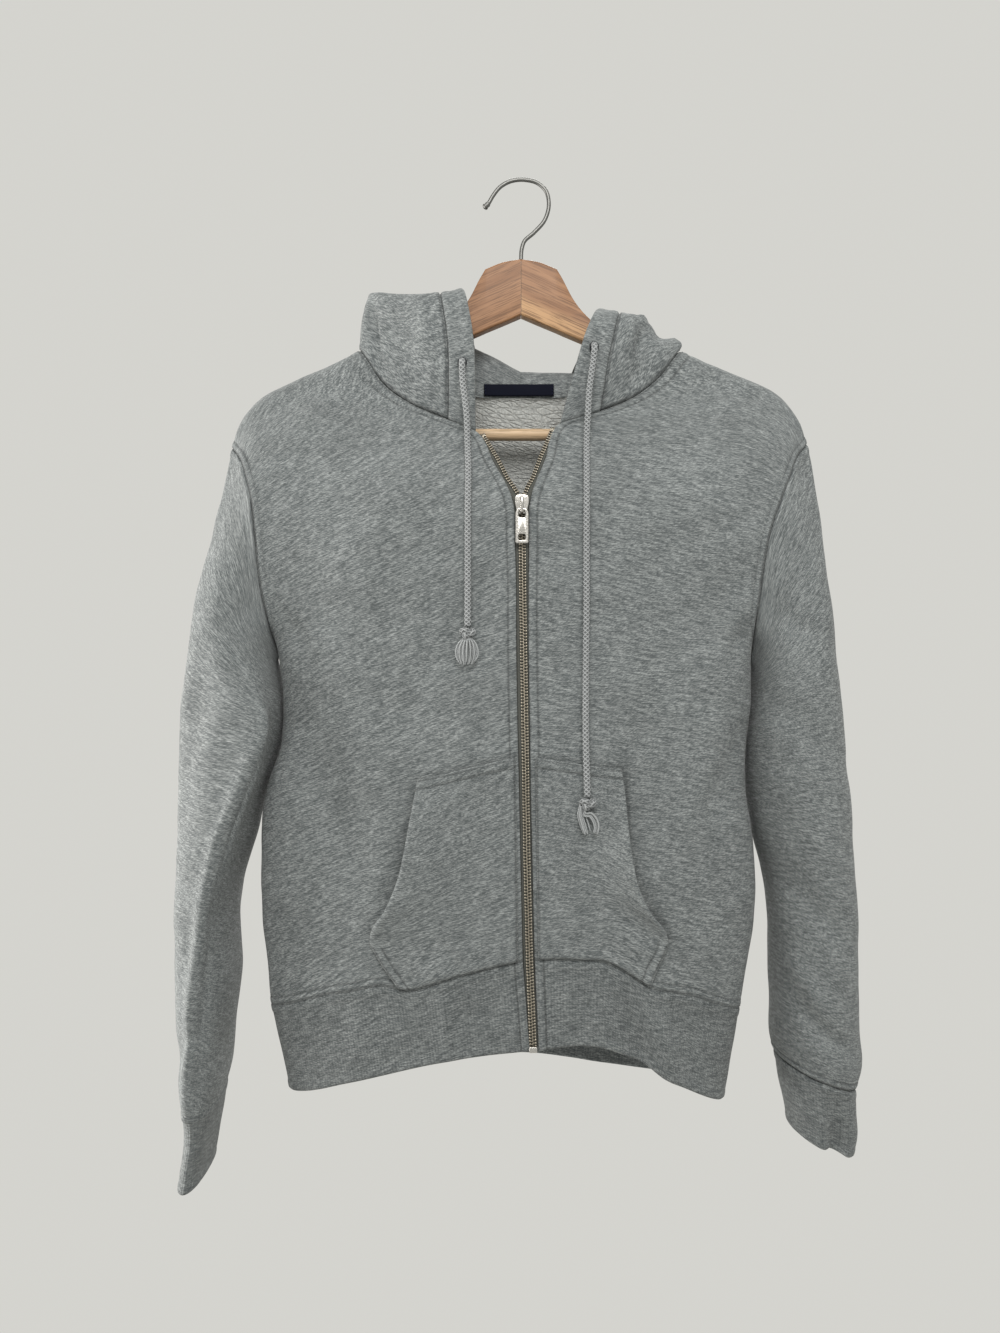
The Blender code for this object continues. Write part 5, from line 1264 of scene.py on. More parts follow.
# Rows of stitches: the piece, its edge, how far inside it each runs, and from where to where.
TWIN = (1.7, 6.5)
ARMHOLE_FROM = 0.42
STITCHES = (
    ("front", "start", (1.7, 9.2), NECK_SHARE, 1.0), ("front", "start", (6.7,), 0.0, NECK_SHARE),
    ("front", "bottom", TWIN, 0.0, 1.0), ("front", "end", TWIN, ARMHOLE_FROM, 1.0),
    ("back", "bottom", TWIN, 0.0, 1.0), ("back", "top", TWIN, 0.0, 1.0),
    ("back", "start", TWIN, ARMHOLE_FROM, 1.0), ("back", "end", TWIN, ARMHOLE_FROM, 1.0),
    ("sleeve", "top", TWIN, 0.0, 1.0), ("hood", "start", (1.7,), 0.0, 1.0),
    ("hood", "bottom", (1.7,), 0.0, 1.0), ("hood", "end", (1.7,), 0.0, 1.0),
    ("pocket", "top", (1.7, 8.2), 0.0, 1.0), ("pocket", "start", (1.2,), 0.0, 1.0),
    ("hem_rib", "start", (6.7,), 0.0, 1.0), ("hem_rib", "end", (6.7,), 0.0, 1.0),
    ("pocket", "end", (1.7, 8.2), 0.0, POCKET_SIDE_SHARE),
)
STITCH_LENGTH, STITCH_PITCH, STITCH_RADIUS = 2.3, 3.0, 0.42
FIRST_STITCH = 1.0
# How dark the painted shade is along each row of stitches.
LINE_SHADE = 0.8
# The swelling beside a seam and beside a free edge: its height, its middle and its reach.
SEAM_SWELL, EDGE_SWELL = (0.6, 4.0, 3.0), (0.5, 3.6, 3.2)
# How deep the cloth sinks at a seam, a rib's seam, a free edge and a row of stitches.
SEAM_SINK, RIB_SINK, SEAM_REACH = 1.3, 0.5, 1.1
EDGE_SINK, EDGE_TURN, EDGE_REACH = 0.9, 0.7, 0.9
STITCH_SINK, CLOSE_STITCH_SINK, STITCH_REACH = 0.8, 0.25, 0.8
# How dark the painted shade in a seam is, and how wide.
SEAM_DARK, RIB_DARK, SLEEVE_DARK, SEAM_WIDTH = 1.0, 0.35, 0.6, 0.65
# Waves of the cloth: a seed, their reach and their height.
UNEVENNESS, HOOD_UNEVENNESS = ((11, 90, 0.7), (12, 34, 0.22)), (13, 45, 0.6)
# The shadow beside a pocket's opening: how dark and how wide.
OPENING_SHADOW = {"front_right": (0.45, 2.0), "front_left": (1.0, 2.8)}
POCKET_TOP_SHADOW = (0.55, 1.9)
OPENING_FOOT = -652
RIB_SEAMS = (("front", "bottom"), ("back", "bottom"), ("hem_rib", "top"), ("sleeve", "bottom"),
             ("cuff", "bottom"))
# How far the fronts' edges close over the zip below its open part, and how that fades.
ZIP_CLOSING, OPEN_ZIP_FOOT = {-1: 2.7, 1: 1.4}, -300
CLOSING_START, CLOSING_REACH, CLOSING_DEPTH, CLOSING_HEIGHT = 8, 14.0, 10, 40
# The rise of the hem band's lower edge at the back, and its middle, reach and depth.
HEM_BACK_RISE, HEM_RISE_X, HEM_RISE_REACH, HEM_RISE_DEPTH = 7.0, 12, 52, 30
CUFF_SEAM_RISE = {-1: 13.0, 1: 3.0}
POCKET_STAND_OFF = {"pocket_right": 0.9, "pocket_left": 2.6}


def kind_of(name):
    return name if name in EDGES else name.rsplit("_", 1)[0]


def close_on_zip(points, side):
    """Points near a front's zip edge, moved towards the zip's middle below the open neck."""
    middle = np.vectorize(zip_centre)(points[..., 2])
    away = np.abs(points[..., 0] - middle)
    share = swell(np.maximum(away - CLOSING_START, 0), CLOSING_REACH)
    share *= np.clip(-points[..., 1] / CLOSING_DEPTH, 0, 1)
    share *= np.clip((OPEN_ZIP_FOOT - points[..., 2]) / CLOSING_HEIGHT, 0, 1)
    moved = np.array(points, float)
    moved[..., 0] -= side * ZIP_CLOSING[side] * share
    return moved


def garment_sheets():
    """Every cloth piece on the solids' own sections, with shared directions at the seams."""
    fronts = {side: Sheet(close_on_zip(front_grid(side), side), flip=side == -1) for side in (-1, 1)}
    back = Sheet(back_grid(), flip=True)
    hem = Sheet(hem_grid(), flip=True)
    for side in (-1, 1):
        half = np.sign(hem.points[:, :, :1] - ZIP_CENTRE[0][1]) == side
        hem.points = np.where(half, close_on_zip(hem.points, side), hem.points)
    rise = np.linspace(HEM_BACK_RISE, 0, len(hem.points))[:, None]
    behind = np.clip(hem.points[:, :, 1] / HEM_RISE_DEPTH, 0, 1)
    hem.points[:, :, 2] += rise * behind * swell(hem.points[:, :, 0] - HEM_RISE_X, HEM_RISE_REACH)
    join_body(fronts, back, hem)
    sheets = {"back": back, "hem_rib": hem}
    hoods = {side: Sheet(hood_grid(side), flip=side == -1) for side in (-1, 1)}
    for hood in hoods.values():
        hood.soften(HOOD_SOFTENING)
    bands = {side: Sheet(band_grid(side), flip=side == -1) for side in (-1, 1)}
    rows, last = hoods[-1].points.shape[:2]
    join_centre(hoods, [(r, last - 1) for r in range(rows)] + [(rows - 1, c) for c in range(last - 1)])
    join_centre(bands, [(rows - 1, 0), (rows - 1, 1)])
    top, middle = len(back.points) - 1, back.points.shape[1] // 2
    for side in (-1, 1):
        sleeve = Sheet(sleeve_grid(side), ring=True, flip=side == 1)
        cuff = Sheet(cuff_grid(side), ring=True, flip=side == 1)
        join_sleeve(fronts[side], back, sleeve, side)
        up_the_sleeve = unit(sleeve.points[-2] - sleeve.points[-1])
        for sheet, row in ((sleeve, -1), (cuff, 0)):
            sheet.points[row] += up_the_sleeve * CUFF_SEAM_RISE[side]
        ring = range(sleeve.points.shape[1])
        share_seam(sleeve, [(len(SLEEVE_PLACES) - 1, c) for c in ring], cuff, [(0, c) for c in ring])
        hood, band, front = hoods[side], bands[side], fronts[side]
        places = range(BAND_FOOT_ROW, len(front.points))
        share_seam(hood, [(0, r - BAND_FOOT_ROW) for r in places], front, [(r, 0) for r in places])
        for i in range(len(HOOD_BACK_PLACES)):
            column = middle + side * (NECK_COLUMN - 1 - i)
            share_seam(hood, [(0, len(HOOD_FRONT_PLACES) + i)], back, [(top, column)])
        share_seam(band, [(r, 1) for r in range(rows)], hood, [(r, 0) for r in range(rows)])
        share_seam(band, [(0, 0)], front, [(ZIP_TOP_ROW, 0)])
        pocket = Sheet(close_on_zip(pocket_grid(side), side), flip=side == -1)
        for kind, sheet in (("front", front), ("sleeve", sleeve), ("cuff", cuff), ("hood", hood),
                            ("hood_band", band), ("pocket", pocket)):
            sheets[kind + "_" + SIDE_NAME[side]] = sheet
    return sheets


def crease_depth(points, out, creases):
    """How far creases move the cloth in or out, at places seen from the front or the back."""
    depth = np.zeros(points.shape[:-1])
    flat = points[..., [0, 2]]
    for facing, width, height, line in creases:
        distance, along = to_segments(flat, line)
        shape = swell(distance, width) * np.sin(math.pi * np.clip(0.08 + 0.84 * along, 0, 1)) ** 0.7
        toward = {"front": -out[..., 1], "back": out[..., 1], "any": np.ones(flat.shape[:-1])}[facing]
        depth += CREASE_SCALE * height * shape * np.clip(toward * 2, 0, 1)
    return depth


def pocket_shadow(name, cloth):
    """The shadows on a front beside its pocket's opening and above its top."""
    side = -1 if name.endswith("right") else 1
    pocket = pocket_grid(side)
    opening = pocket[:, -1][pocket[:, -1, 2] > OPENING_FOOT][:, [0, 2]]
    opening = opening + (side * OPENING_SHADOW[name][1] * 0.6, 0)
    above = close_on_zip(pocket, side)[-1][:, [0, 2]] + (0, 1.6)
    facing = np.clip(-2 * cloth.out[..., 1], 0, 1)
    shadow = np.zeros(facing.shape)
    for line, (dark, reach) in ((opening, OPENING_SHADOW[name]), (above, POCKET_TOP_SHADOW)):
        distance = to_segments(cloth.points[..., [0, 2]], line)[0]
        shadow = np.maximum(shadow, dark * facing * swell(distance, reach))
    return shadow


def shape_cloth(name, cloth):
    """Set how far each point of a piece is raised, on its outer and on its inner face, and the painted shade
    in its seams, along its stitches and beside its pockets.
    """
    kind = kind_of(name)
    soft = sum(uneven(cloth.points, *waves) for waves in UNEVENNESS)
    if kind in ("hood", "hood_band"):
        soft += uneven(cloth.points, *HOOD_UNEVENNESS)
    soft += crease_depth(cloth.points, cloth.out, CREASES.get(kind, BODY_CREASES))
    if kind == "front":
        soft += crease_depth(cloth.points, cloth.out, BESIDE_POCKETS)
    if kind == "pocket":
        soft = 0.8 * soft + POCKET_STAND_OFF[name] * swell(cloth.from_edge("end"), 12)
        soft += 0.5 * swell(cloth.from_edge("top"), 5)
    lift, inner, lines = soft.copy(), soft.copy(), np.zeros(soft.shape)
    for edge, what in EDGES[kind].items():
        distance = cloth.from_edge(edge)
        height, middle, reach = SEAM_SWELL if what == "seam" else EDGE_SWELL
        lift += height * swell(distance - middle, reach, 4)
        if what == "seam":
            sink, dark = (RIB_SINK, RIB_DARK) if (kind, edge) in RIB_SEAMS else (SEAM_SINK, SEAM_DARK)
            lift -= sink * swell(distance, SEAM_REACH)
            lines = np.maximum(lines, dark * swell(distance, SEAM_WIDTH))
        else:
            lift -= EDGE_SINK * swell(distance, EDGE_REACH)
            inner += EDGE_TURN * swell(distance, EDGE_REACH)
    if kind == "sleeve":
        lines *= SLEEVE_DARK
    if kind == "front":
        lines = np.maximum(lines, pocket_shadow(name, cloth))
    for which, edge, rows, start, end in STITCHES:
        if which != kind:
            continue
        upright = edge in ("start", "end")
        share = np.linspace(0, 1, lift.shape[0 if upright else 1])
        there = ((share >= start - 0.004) & (share <= end + 0.004)).astype(float)
        for away in rows:
            row = swell(cloth.from_edge(edge) - away, STITCH_REACH)
            row *= there[:, None] if upright else there[None, :]
            lift -= (STITCH_SINK if away > 3 else CLOSE_STITCH_SINK) * row
            lines = np.maximum(lines, row * LINE_SHADE)
    cloth.lift, cloth.inner_lift, cloth.lines = lift, inner, lines


def stitch_rows(name, rows, finish):
    """Rows of short raised stitches, each a small spindle lying on the cloth."""
    points, faces, uv = [], [], []
    for path, ways in rows:
        lengths = lengths_along(path)
        for start in np.arange(FIRST_STITCH, lengths[-1] - STITCH_LENGTH + FIRST_STITCH, STITCH_PITCH):
            a, middle, b = (np.array([np.interp(start + d, lengths, path[:, k]) for k in range(3)])
                            for d in (0, STITCH_LENGTH / 2, STITCH_LENGTH))
            out = np.array([np.interp(start, lengths, ways[:, k]) for k in range(3)])
            aside = unit(np.cross(b - a, out))
            first = len(points)
            points += [a - out * 0.25, b - out * 0.25, middle + aside * STITCH_RADIUS + out * 0.1,
                       middle - aside * STITCH_RADIUS + out * 0.1, middle + out * STITCH_RADIUS * 1.3,
                       middle - out * 0.3]
            ring = (2, 4, 3, 5)
            for k in range(4):
                faces.append((first, first + ring[k], first + ring[(k + 1) % 4]))
                faces.append((first + 1, first + ring[(k + 1) % 4], first + ring[k]))
                uv += [(start * MM, 0)] * 6
    return mesh_object(name, points, faces, [finish], None, uv)


def skin(name, points, u, v, finish, caps=(0, 0)):
    """A closed body over rings of points, with coordinates u round it and v along it."""
    sides = len(u) - 1
    count = len(points) // sides
    faces, uv = [], []
    for i in range(count - 1):
        for k in range(sides):
            n = (k + 1) % sides
            faces.append((i * sides + k, i * sides + n, (i + 1) * sides + n, (i + 1) * sides + k))
            uv += [(u[k], v[i]), (u[k + 1], v[i]), (u[k + 1], v[i + 1]), (u[k], v[i + 1])]
    last = (count - 1) * sides
    for ring, place in ((range(sides - 1, -1, -1), caps[0]), (range(last, last + sides), caps[1])):
        faces.append(tuple(ring))
        uv += [(0, place)] * sides
    return mesh_object(name, points, faces, [finish], None, uv)


def tube(name, route, radius, finish, sides=12, squash=1.0):
    """A tube along a route of points, with cloth coordinates round and along it."""
    route = np.array(route, float)
    radii = np.broadcast_to(np.asarray(radius, float), (len(route),))
    ahead = unit(np.gradient(route, axis=0))
    aside = np.cross(ahead[0], (0, 1, 0.13))
    points = []
    for centre, way, size in zip(route, ahead, radii):
        aside = unit(aside - way * (aside @ way))
        other = np.cross(way, aside)
        for k in range(sides):
            angle = 2 * math.pi * k / sides
            points.append(centre + (aside * math.cos(angle) + other * math.sin(angle) * squash) * size)
    return skin(name, points, np.arange(sides + 1) / sides, lengths_along(route) * MM, finish)


def lofted(name, rows, finish):
    """A closed body through rings of points, with coordinates round and along it in metres."""
    rows = np.array(rows, float)
    round_lengths = np.linalg.norm(rows - np.roll(rows, -1, axis=1), axis=2).mean(axis=0)
    u = np.concatenate([[0], np.cumsum(round_lengths)]) * MM
    v = lengths_along(rows.mean(axis=1)) * MM
    return skin(name, rows.reshape(-1, 3), u, v, finish, (v[0], v[-1]))


def join_objects(objects, name):
    """Several mesh objects as one."""
    shaped = bmesh.new()
    finishes = []
    for piece in objects:
        before = len(shaped.faces)
        shaped.from_mesh(piece.data)
        shaped.faces.ensure_lookup_table()
        for finish in piece.data.materials:
            if finish not in finishes:
                finishes.append(finish)
        for face in shaped.faces[before:]:
            face.material_index = finishes.index(piece.data.materials[face.material_index])
    mesh = bpy.data.meshes.new(name)
    for finish in finishes:
        mesh.materials.append(finish)
    shaped.to_mesh(mesh)
    shaped.free()
    for piece in objects:
        bpy.data.objects.remove(piece, do_unlink=True)
    return in_scene(name, mesh)


# Each cloth piece: how its rows of knit lie on it, and the cut of what shows of it, its width,
# length and area in millimetres and square metres.
PIECES = {
    "front_right": (0.24, 245, 587, 0.1155), "front_left": (-0.10, 218, 590, 0.1070),
    "back": (0.08, 594, 571, 0.2420), "sleeve_right": (0.16, 416, 573, 0.1280),
    "sleeve_left": (-0.16, 437, 553, 0.1210), "cuff_right": (0.0, 198, 74, 0.0120),
    "cuff_left": (0.0, 232, 62, 0.0121), "hem_rib": (0.0, 892, 77, 0.0615),
    "hood_right": (0.12, 270, 382, 0.0720), "hood_left": (-0.12, 258, 335, 0.0588),
    "hood_band_right": (0.1, 28, 364, 0.0084), "hood_band_left": (-0.1, 36, 323, 0.0080),
    "pocket_right": (0.14, 119, 182, 0.0161), "pocket_left": (-0.12, 107, 184, 0.0134),
}
# The shade of each ribbed kind, and the pitch of the ribs.
RIB_SHADE, RIB_PITCH = {"cuff": 0.9, "hem_rib": 0.88}, 2.4


def dress(objects, node, body=BODY):
    """Pieces that stand for a node and ride on its body, with the node's own part hidden."""
    for piece in objects:
        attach(piece, body)
        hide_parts(node)


def make_garment():
    fleece_inside = fleece("looped_inside")
    thread = plain_fibre("sewing_thread", (0.13, 0.138, 0.14), 0.5, 1.2, 0.2)
    for name, sheet in garment_sheets().items():
        kind = kind_of(name)
        cloth = Cloth(sheet, CELLS[kind])
        shape_cloth(name, cloth)
        turn, width, length, area = PIECES[name]
        ribbed = kind in RIB_SHADE
        outside = marl("marl_" + name, turn, RIB_SHADE.get(kind, 1.0), RIB_PITCH if ribbed else 0)
        inside = outside if ribbed or kind in ("hood", "hood_band") else fleece_inside
        wall = wall_object(name + "_cloth", cloth, THICKNESS.get(kind, CLOTH), outside, inside)
        rows = [cloth.line(edge, away, start, end)
                for which, edge, distances, start, end in STITCHES if which == kind for away in distances]
        along_seams = [stitch_rows(name + "_stitches", rows, thread)] if rows else []
        dress([wall] + along_seams, name)


# ---------------------------------------------------------------- zip
TEETH_PITCH, TOOTH_LENGTH, TOOTH_TALL = 2.45, 1.3, 1.5
TOOTH_BACK = 2.9
# A tooth's sections from its foot to its tip: place, how much lower and how wide.
TOOTH_SECTIONS = ((0, 0.35, 0.50), (0.25, 0, 0.62), (1.0, 0, 0.60), (1.3, 0.25, 0.36), (2.3, 0.25, 0.36),
                  (2.6, 0, 0.52), (3.1, 0, 0.52), (3.4, 0.3, 0.38))
STOP_LENGTH = 3.4
TAPE_TOP = 2.0


def along_path(path, step):
    """Evenly spaced places on a path of points, with the directions there."""
    points, ways = path
    lengths = lengths_along(points)
    places = np.arange(step / 2, lengths[-1], step)
    at, out = (np.array([np.interp(places, lengths, values[:, k]) for k in range(3)]).T
               for values in (points, ways))
    return at, unit(out)


def zip_frames(side, step):
    """Places along a front's zip edge: the point, the ways in, out and along, and the tape's reach."""
    path = tape_path(side)
    points, ways = close_on_zip(np.array([p[0] for p in path]), side), np.array([p[1] for p in path])
    at, out = along_path((points, ways), step)
    ahead = unit(np.gradient(at, axis=0))
    inward = unit(np.cross(out, ahead) * side)
    reach = []
    for edge, way in zip(at, inward):
        to_centre = abs(zip_centre(edge[2]) - edge[0]) / abs(way[0])
        is_open = edge[2] > ZIP_CENTRE[-1][0] + 8
        reach.append(OPEN_TAPE_REACH if is_open else min(to_centre, OPEN_TAPE_REACH + 3))
    reach = np.convolve(np.pad(reach, 4, mode="edge"), np.ones(9) / 9, mode="valid")
    return at, inward, out, ahead, reach


def add_tooth(points, faces, centre, way, up, on, inner, length):
    """One tooth of the zip, clamped on the edge of its tape."""
    first, last = len(points), len(TOOTH_SECTIONS) - 1
    for place, low, wide in TOOTH_SECTIONS:
        half = wide * length
        base, top = -TAPE_TOP - TAPE_THICK - 0.5 + low, -TAPE_TOP + TOOTH_TALL - low
        middle = centre + way * (inner + place)
        points += [middle - on * half + up * base, middle + on * half + up * base,
                   middle + on * half + up * (top - 0.25), middle + on * half * 0.6 + up * top,
                   middle - on * half * 0.6 + up * top, middle - on * half + up * (top - 0.25)]
    for i in range(last):
        for k in range(6):
            n = (k + 1) % 6
            a, b = first + i * 6, first + (i + 1) * 6
            faces.append((a + k, a + n, b + n, b + k))
    faces.append(tuple(first + k for k in range(6))[::-1])
    faces.append(tuple(first + last * 6 + k for k in range(6)))


def make_zip_tape(side, tape, metal_of_teeth):
    at, inward, out, ahead, reach = zip_frames(side, 4.0)
    under = TAPE_DEPTH + 0.1
    rows = []
    for edge, way, up, far in zip(at, inward, out, reach):
        far -= 0.25
        profile = ((-TAPE_UNDER, -under), (-0.4, -under), (0.8, -TAPE_TOP), (far, -TAPE_TOP),
                   (far, -TAPE_TOP - TAPE_THICK), (0.8, -TAPE_TOP - TAPE_THICK), (-0.4, -under - TAPE_THICK),
                   (-TAPE_UNDER, -under - TAPE_THICK))
        rows.append([edge + way * a + up * b for a, b in profile])
    cloth_tape = lofted("zip_tape_%s_cloth" % SIDE_NAME[side], rows, tape)
    cloth_tape.data.set_sharp_from_angle(angle=0.7)
    at, inward, out, ahead, reach = zip_frames(side, TEETH_PITCH)
    points, faces = [], []
    for edge, way, up, on, far in zip(at, inward, out, ahead, reach):
        centre = edge + on * (TEETH_PITCH / 2 if side == 1 else 0)
        add_tooth(points, faces, centre, way, up, on, far - TOOTH_BACK, TOOTH_LENGTH)
    add_tooth(points, faces, at[-1] + ahead[-1] * STOP_LENGTH, inward[-1], out[-1], ahead[-1],
              reach[-1] - TOOTH_BACK, STOP_LENGTH)
    teeth = mesh_object("zip_teeth_" + SIDE_NAME[side], points, faces, [metal_of_teeth])
    teeth.data.set_sharp_from_angle(angle=0.8)
    dress([cloth_tape, teeth], "zip_tape_" + SIDE_NAME[side])


def rounded_outline(corners, radius, steps=5):
    """A closed outline in x and z with its corners rounded."""
    corners = np.array(corners, float)
    radii = np.broadcast_to(np.asarray(radius, float), (len(corners),))
    outline = []
    for i, corner in enumerate(corners):
        before, after = corners[i - 1] - corner, corners[(i + 1) % len(corners)] - corner
        cut = min(radii[i], np.linalg.norm(before) * 0.49, np.linalg.norm(after) * 0.49)
        a = corner + before / np.linalg.norm(before) * cut
        b = corner + after / np.linalg.norm(after) * cut
        for t in np.linspace(0, 1, steps):
            outline.append(a * (1 - t) ** 2 + corner * 2 * t * (1 - t) + b * t ** 2)
    return outline


def flat_plate(name, outlines, near, far, bevel, finish):
    """A plate in the XZ plane from an outline and its holes, between two depths, with rounded edges."""
    curve = bpy.data.curves.new(name, "CURVE")
    curve.dimensions = "2D"
    curve.fill_mode = "BOTH"
    curve.extrude = (abs(far - near) / 2 - bevel) * MM
    curve.bevel_depth = bevel * MM
    curve.bevel_resolution = 2
    curve.offset = -bevel * MM
    for outline in outlines:
        spline = curve.splines.new("POLY")
        spline.points.add(len(outline) - 1)
        for point, (x, z) in zip(spline.points, outline):
            point.co = (x * MM, z * MM, 0, 1)
        spline.use_cyclic_u = True
    drawn = in_scene(name, curve)
    shape = bpy.data.meshes.new_from_object(drawn.evaluated_get(bpy.context.evaluated_depsgraph_get()))
    middle = (near + far) / 2 * MM
    corners = [(v.co.x, middle - v.co.z, v.co.y) for v in shape.vertices]
    faces = [tuple(p.vertices) for p in shape.polygons]
    bpy.data.objects.remove(drawn, do_unlink=True)
    made = mesh_object(name, np.array(corners) / MM, faces, [finish])
    shaped = bmesh.new()
    shaped.from_mesh(made.data)
    bmesh.ops.remove_doubles(shaped, verts=shaped.verts, dist=1e-6)
    bmesh.ops.recalc_face_normals(shaped, faces=shaped.faces)
    shaped.to_mesh(made.data)
    shaped.free()
    made.data.set_sharp_from_angle(angle=0.6)
    return made


# Outlines across the zip: x from the zip's middle, z from the pull's hinge, in millimetres.
PULL_KEYHOLE = ((-1.7, -0.7), (1.7, -0.7), (2.9, -2.6), (2.9, -6.9), (-2.9, -6.9), (-2.9, -2.6))
KEYHOLE_CORNERS = (0.6, 0.6, 1.4, 2.6, 2.6, 1.4)
PULL_SLOT = ((-2.9, -20.1), (2.9, -20.1), (2.9, -25.1), (-2.9, -25.1))
# The raised border between the pull's two holes, and the bridge's bar.
BORDER_HALF, BORDER_FOOT, BORDER_TOP, BORDER_WIRE = 3.9, -18.9, -9.6, 0.4
BRIDGE_BAR, BRIDGE_SQUASH = 1.25, 0.55


def rectangle(centre, half, low, high):
    return [(centre - half, low), (centre + half, low), (centre + half, high), (centre - half, high)]


def make_slider(nickel):
    centre = zip_centre(PULL_AXIS_Z)
    front = SLIDER_FRONT - TEETH_TOP
    back = front + SLIDER_CORE
    top, foot, wide = SLIDER_TOP, SLIDER_FOOT, SLIDER_HALF_WIDTH + 0.4
    narrow = wide - 1.3
    body = [(-wide, top - 1.2), (-wide * 0.45, top), (wide * 0.45, top), (wide, top - 1.2), (wide, top - 6.5),
            (narrow, foot + 3), (narrow, foot), (-narrow, foot), (-narrow, foot + 3), (-wide, top - 6.5)]
    outline = rounded_outline([(centre + x, z) for x, z in body], 1.6)
    post = rounded_outline([(centre - 0.9, top - 0.4), (centre + 0.9, top - 0.4), (centre + 0.5, POST_FOOT),
                            (centre - 0.5, POST_FOOT)], 0.4)
    out, face = front - PLATE - BRIDGE_OUT, front - PLATE / 2
    route = [(face, top - 1.6), (out + 1.0, top - 2.0), (out, top - 4.4), (out, PULL_AXIS_Z + 0.6),
             (out + 0.3, PULL_AXIS_Z - 1.8), (face, PULL_AXIS_Z - 2.9)]
    bridge = smooth_route([(centre, y, z) for y, z in route], 24)
    slider = join_objects([
        flat_plate("slider_front", [outline], front - PLATE, front, 0.4, nickel),
        flat_plate("slider_back", [outline], back, back + PLATE, 0.4, nickel),
        flat_plate("slider_post", [post], front - 0.3, back + 0.3, 0.2, nickel),
        tube("slider_bridge_bar", bridge, BRIDGE_BAR, nickel, 10, BRIDGE_SQUASH)], "zip_slider_metal")
    dress([slider], "zip_slider")


def make_pull(nickel):
    centre = zip_centre(PULL_AXIS_Z)
    depth = SLIDER_FRONT - TEETH_TOP - PLATE - PULL_AXIS_OUT
    near, far = depth - PULL_THICK / 2, depth + PULL_THICK / 2
    wide, head, low = PULL_HALF_WIDTH, PULL_AXIS_Z + PULL_BAR / 2, PULL_AXIS_Z - PULL_LENGTH
    shape = [(centre - wide, low), (centre + wide, low), (centre + wide, head - 3.4),
             (centre + wide - 1.6, head), (centre - wide + 1.6, head), (centre - wide, head - 3.4)]
    keyhole, slot_hole = ([(centre + x, PULL_AXIS_Z + z) for x, z in hole]
                          for hole in (PULL_KEYHOLE, PULL_SLOT))
    tab = flat_plate("pull_tab", [rounded_outline(shape, 1.3), rounded_outline(keyhole, KEYHOLE_CORNERS),
                                  rounded_outline(slot_hole, 1.2)], near, far, 0.3, nickel)
    foot, top = PULL_AXIS_Z + BORDER_FOOT, PULL_AXIS_Z + BORDER_TOP
    outer = rectangle(centre, BORDER_HALF, foot, top)
    inner = rectangle(centre, BORDER_HALF - BORDER_WIRE, foot + BORDER_WIRE, top - BORDER_WIRE)
    border = flat_plate("pull_border", [rounded_outline(outer, 0.5), rounded_outline(inner, 0.4)],
                        near - 0.12, near + 0.2, 0.05, nickel)
    pull = join_objects([tab, border], "zip_pull_metal")
    dress([pull], "zip_pull", "zip_pull")


def make_stop(nickel):
    z = HEM_INNER[-1][2] + 2
    wide, thick, tall = STOP_SIZE
    face = HEM_INNER[-1][1] - TEETH_TOP
    box = rectangle(zip_centre(z), wide / 2, z - tall / 2, z + tall / 2)
    stop = flat_plate("zip_stop_metal", [rounded_outline(box, 0.8)], face - thick, face, 0.5, nickel)
    dress([stop], "zip_stop")


# ---------------------------------------------------------------- label and drawcords
# The strands of the two tassels: x, or x and z, from the knot's middle.
LANTERN_BULGE, LANTERN_END = (-9.4, 8.2), (-7.4, 5.4)
LANTERN_STRANDS = 13
# A lantern strand's route: shares of its widest x and y, and z.
LANTERN_ROUTE = ((0.25, 0.3, -3.5), (0.72, 0.8, -7.5), (1, 1, -14), (0.97, 0.9, -18.5))
HORSESHOE = (
    ((-5.6, -0.6), (-7.3, -8.5), (-5.6, -16.5), (-3.0, -23.5)),
    ((-5.2, -1.5), (-6.2, -8.5), (-4.6, -16.0), (-1.9, -24.0)),
    ((-4.3, -3.0), (-4.9, -9.0), (-3.3, -16.0), (-0.9, -23.0)),
    ((-3.4, -3.6), (-3.6, -9.5), (-1.7, -16.5), (0.2, -24.0)),
    ((-2.4, -4.0), (-1.6, -7.2), (2.4, -6.9), (6.4, -10.6), (8.6, -16.5), (7.7, -23.4)),
    ((-2.6, -4.0), (-1.4, -8.0), (2.2, -7.9), (5.6, -11.4), (7.5, -17.0), (6.8, -24.0)),
    ((-2.9, -4.0), (-2.4, -8.6), (1.8, -8.9), (4.8, -12.4), (6.4, -18.0), (5.7, -23.0)),
    ((-2.2, -4.0), (-2.6, -9.4), (1.2, -9.8), (3.9, -13.4), (5.2, -18.0), (4.8, -22.6)),
    ((-1.5, -4.0), (-1.2, -10.0), (0.4, -15.0), (2.2, -21.5)),
)
STRAND_WIRE = 0.72
KNOT_CORD = 2.25


LABEL_GRID, LABEL_SEAM = (33, 9), 0.955


def label_place(x, t):
    """The label's inner face at a share across it, -1 to 1, and a share up it."""
    depth = LABEL_FACE[0] + (LABEL_FACE[1] - LABEL_FACE[0]) * t - 0.8 * x * x
    depth -= 0.25 * math.sin(5 * x + 2 * t) + 0.35 * math.sin(math.pi * t)
    return LABEL_CENTRE + x * LABEL_HALF_WIDTH, depth, LABEL_FOOT + (LABEL_TOP - LABEL_FOOT) * t


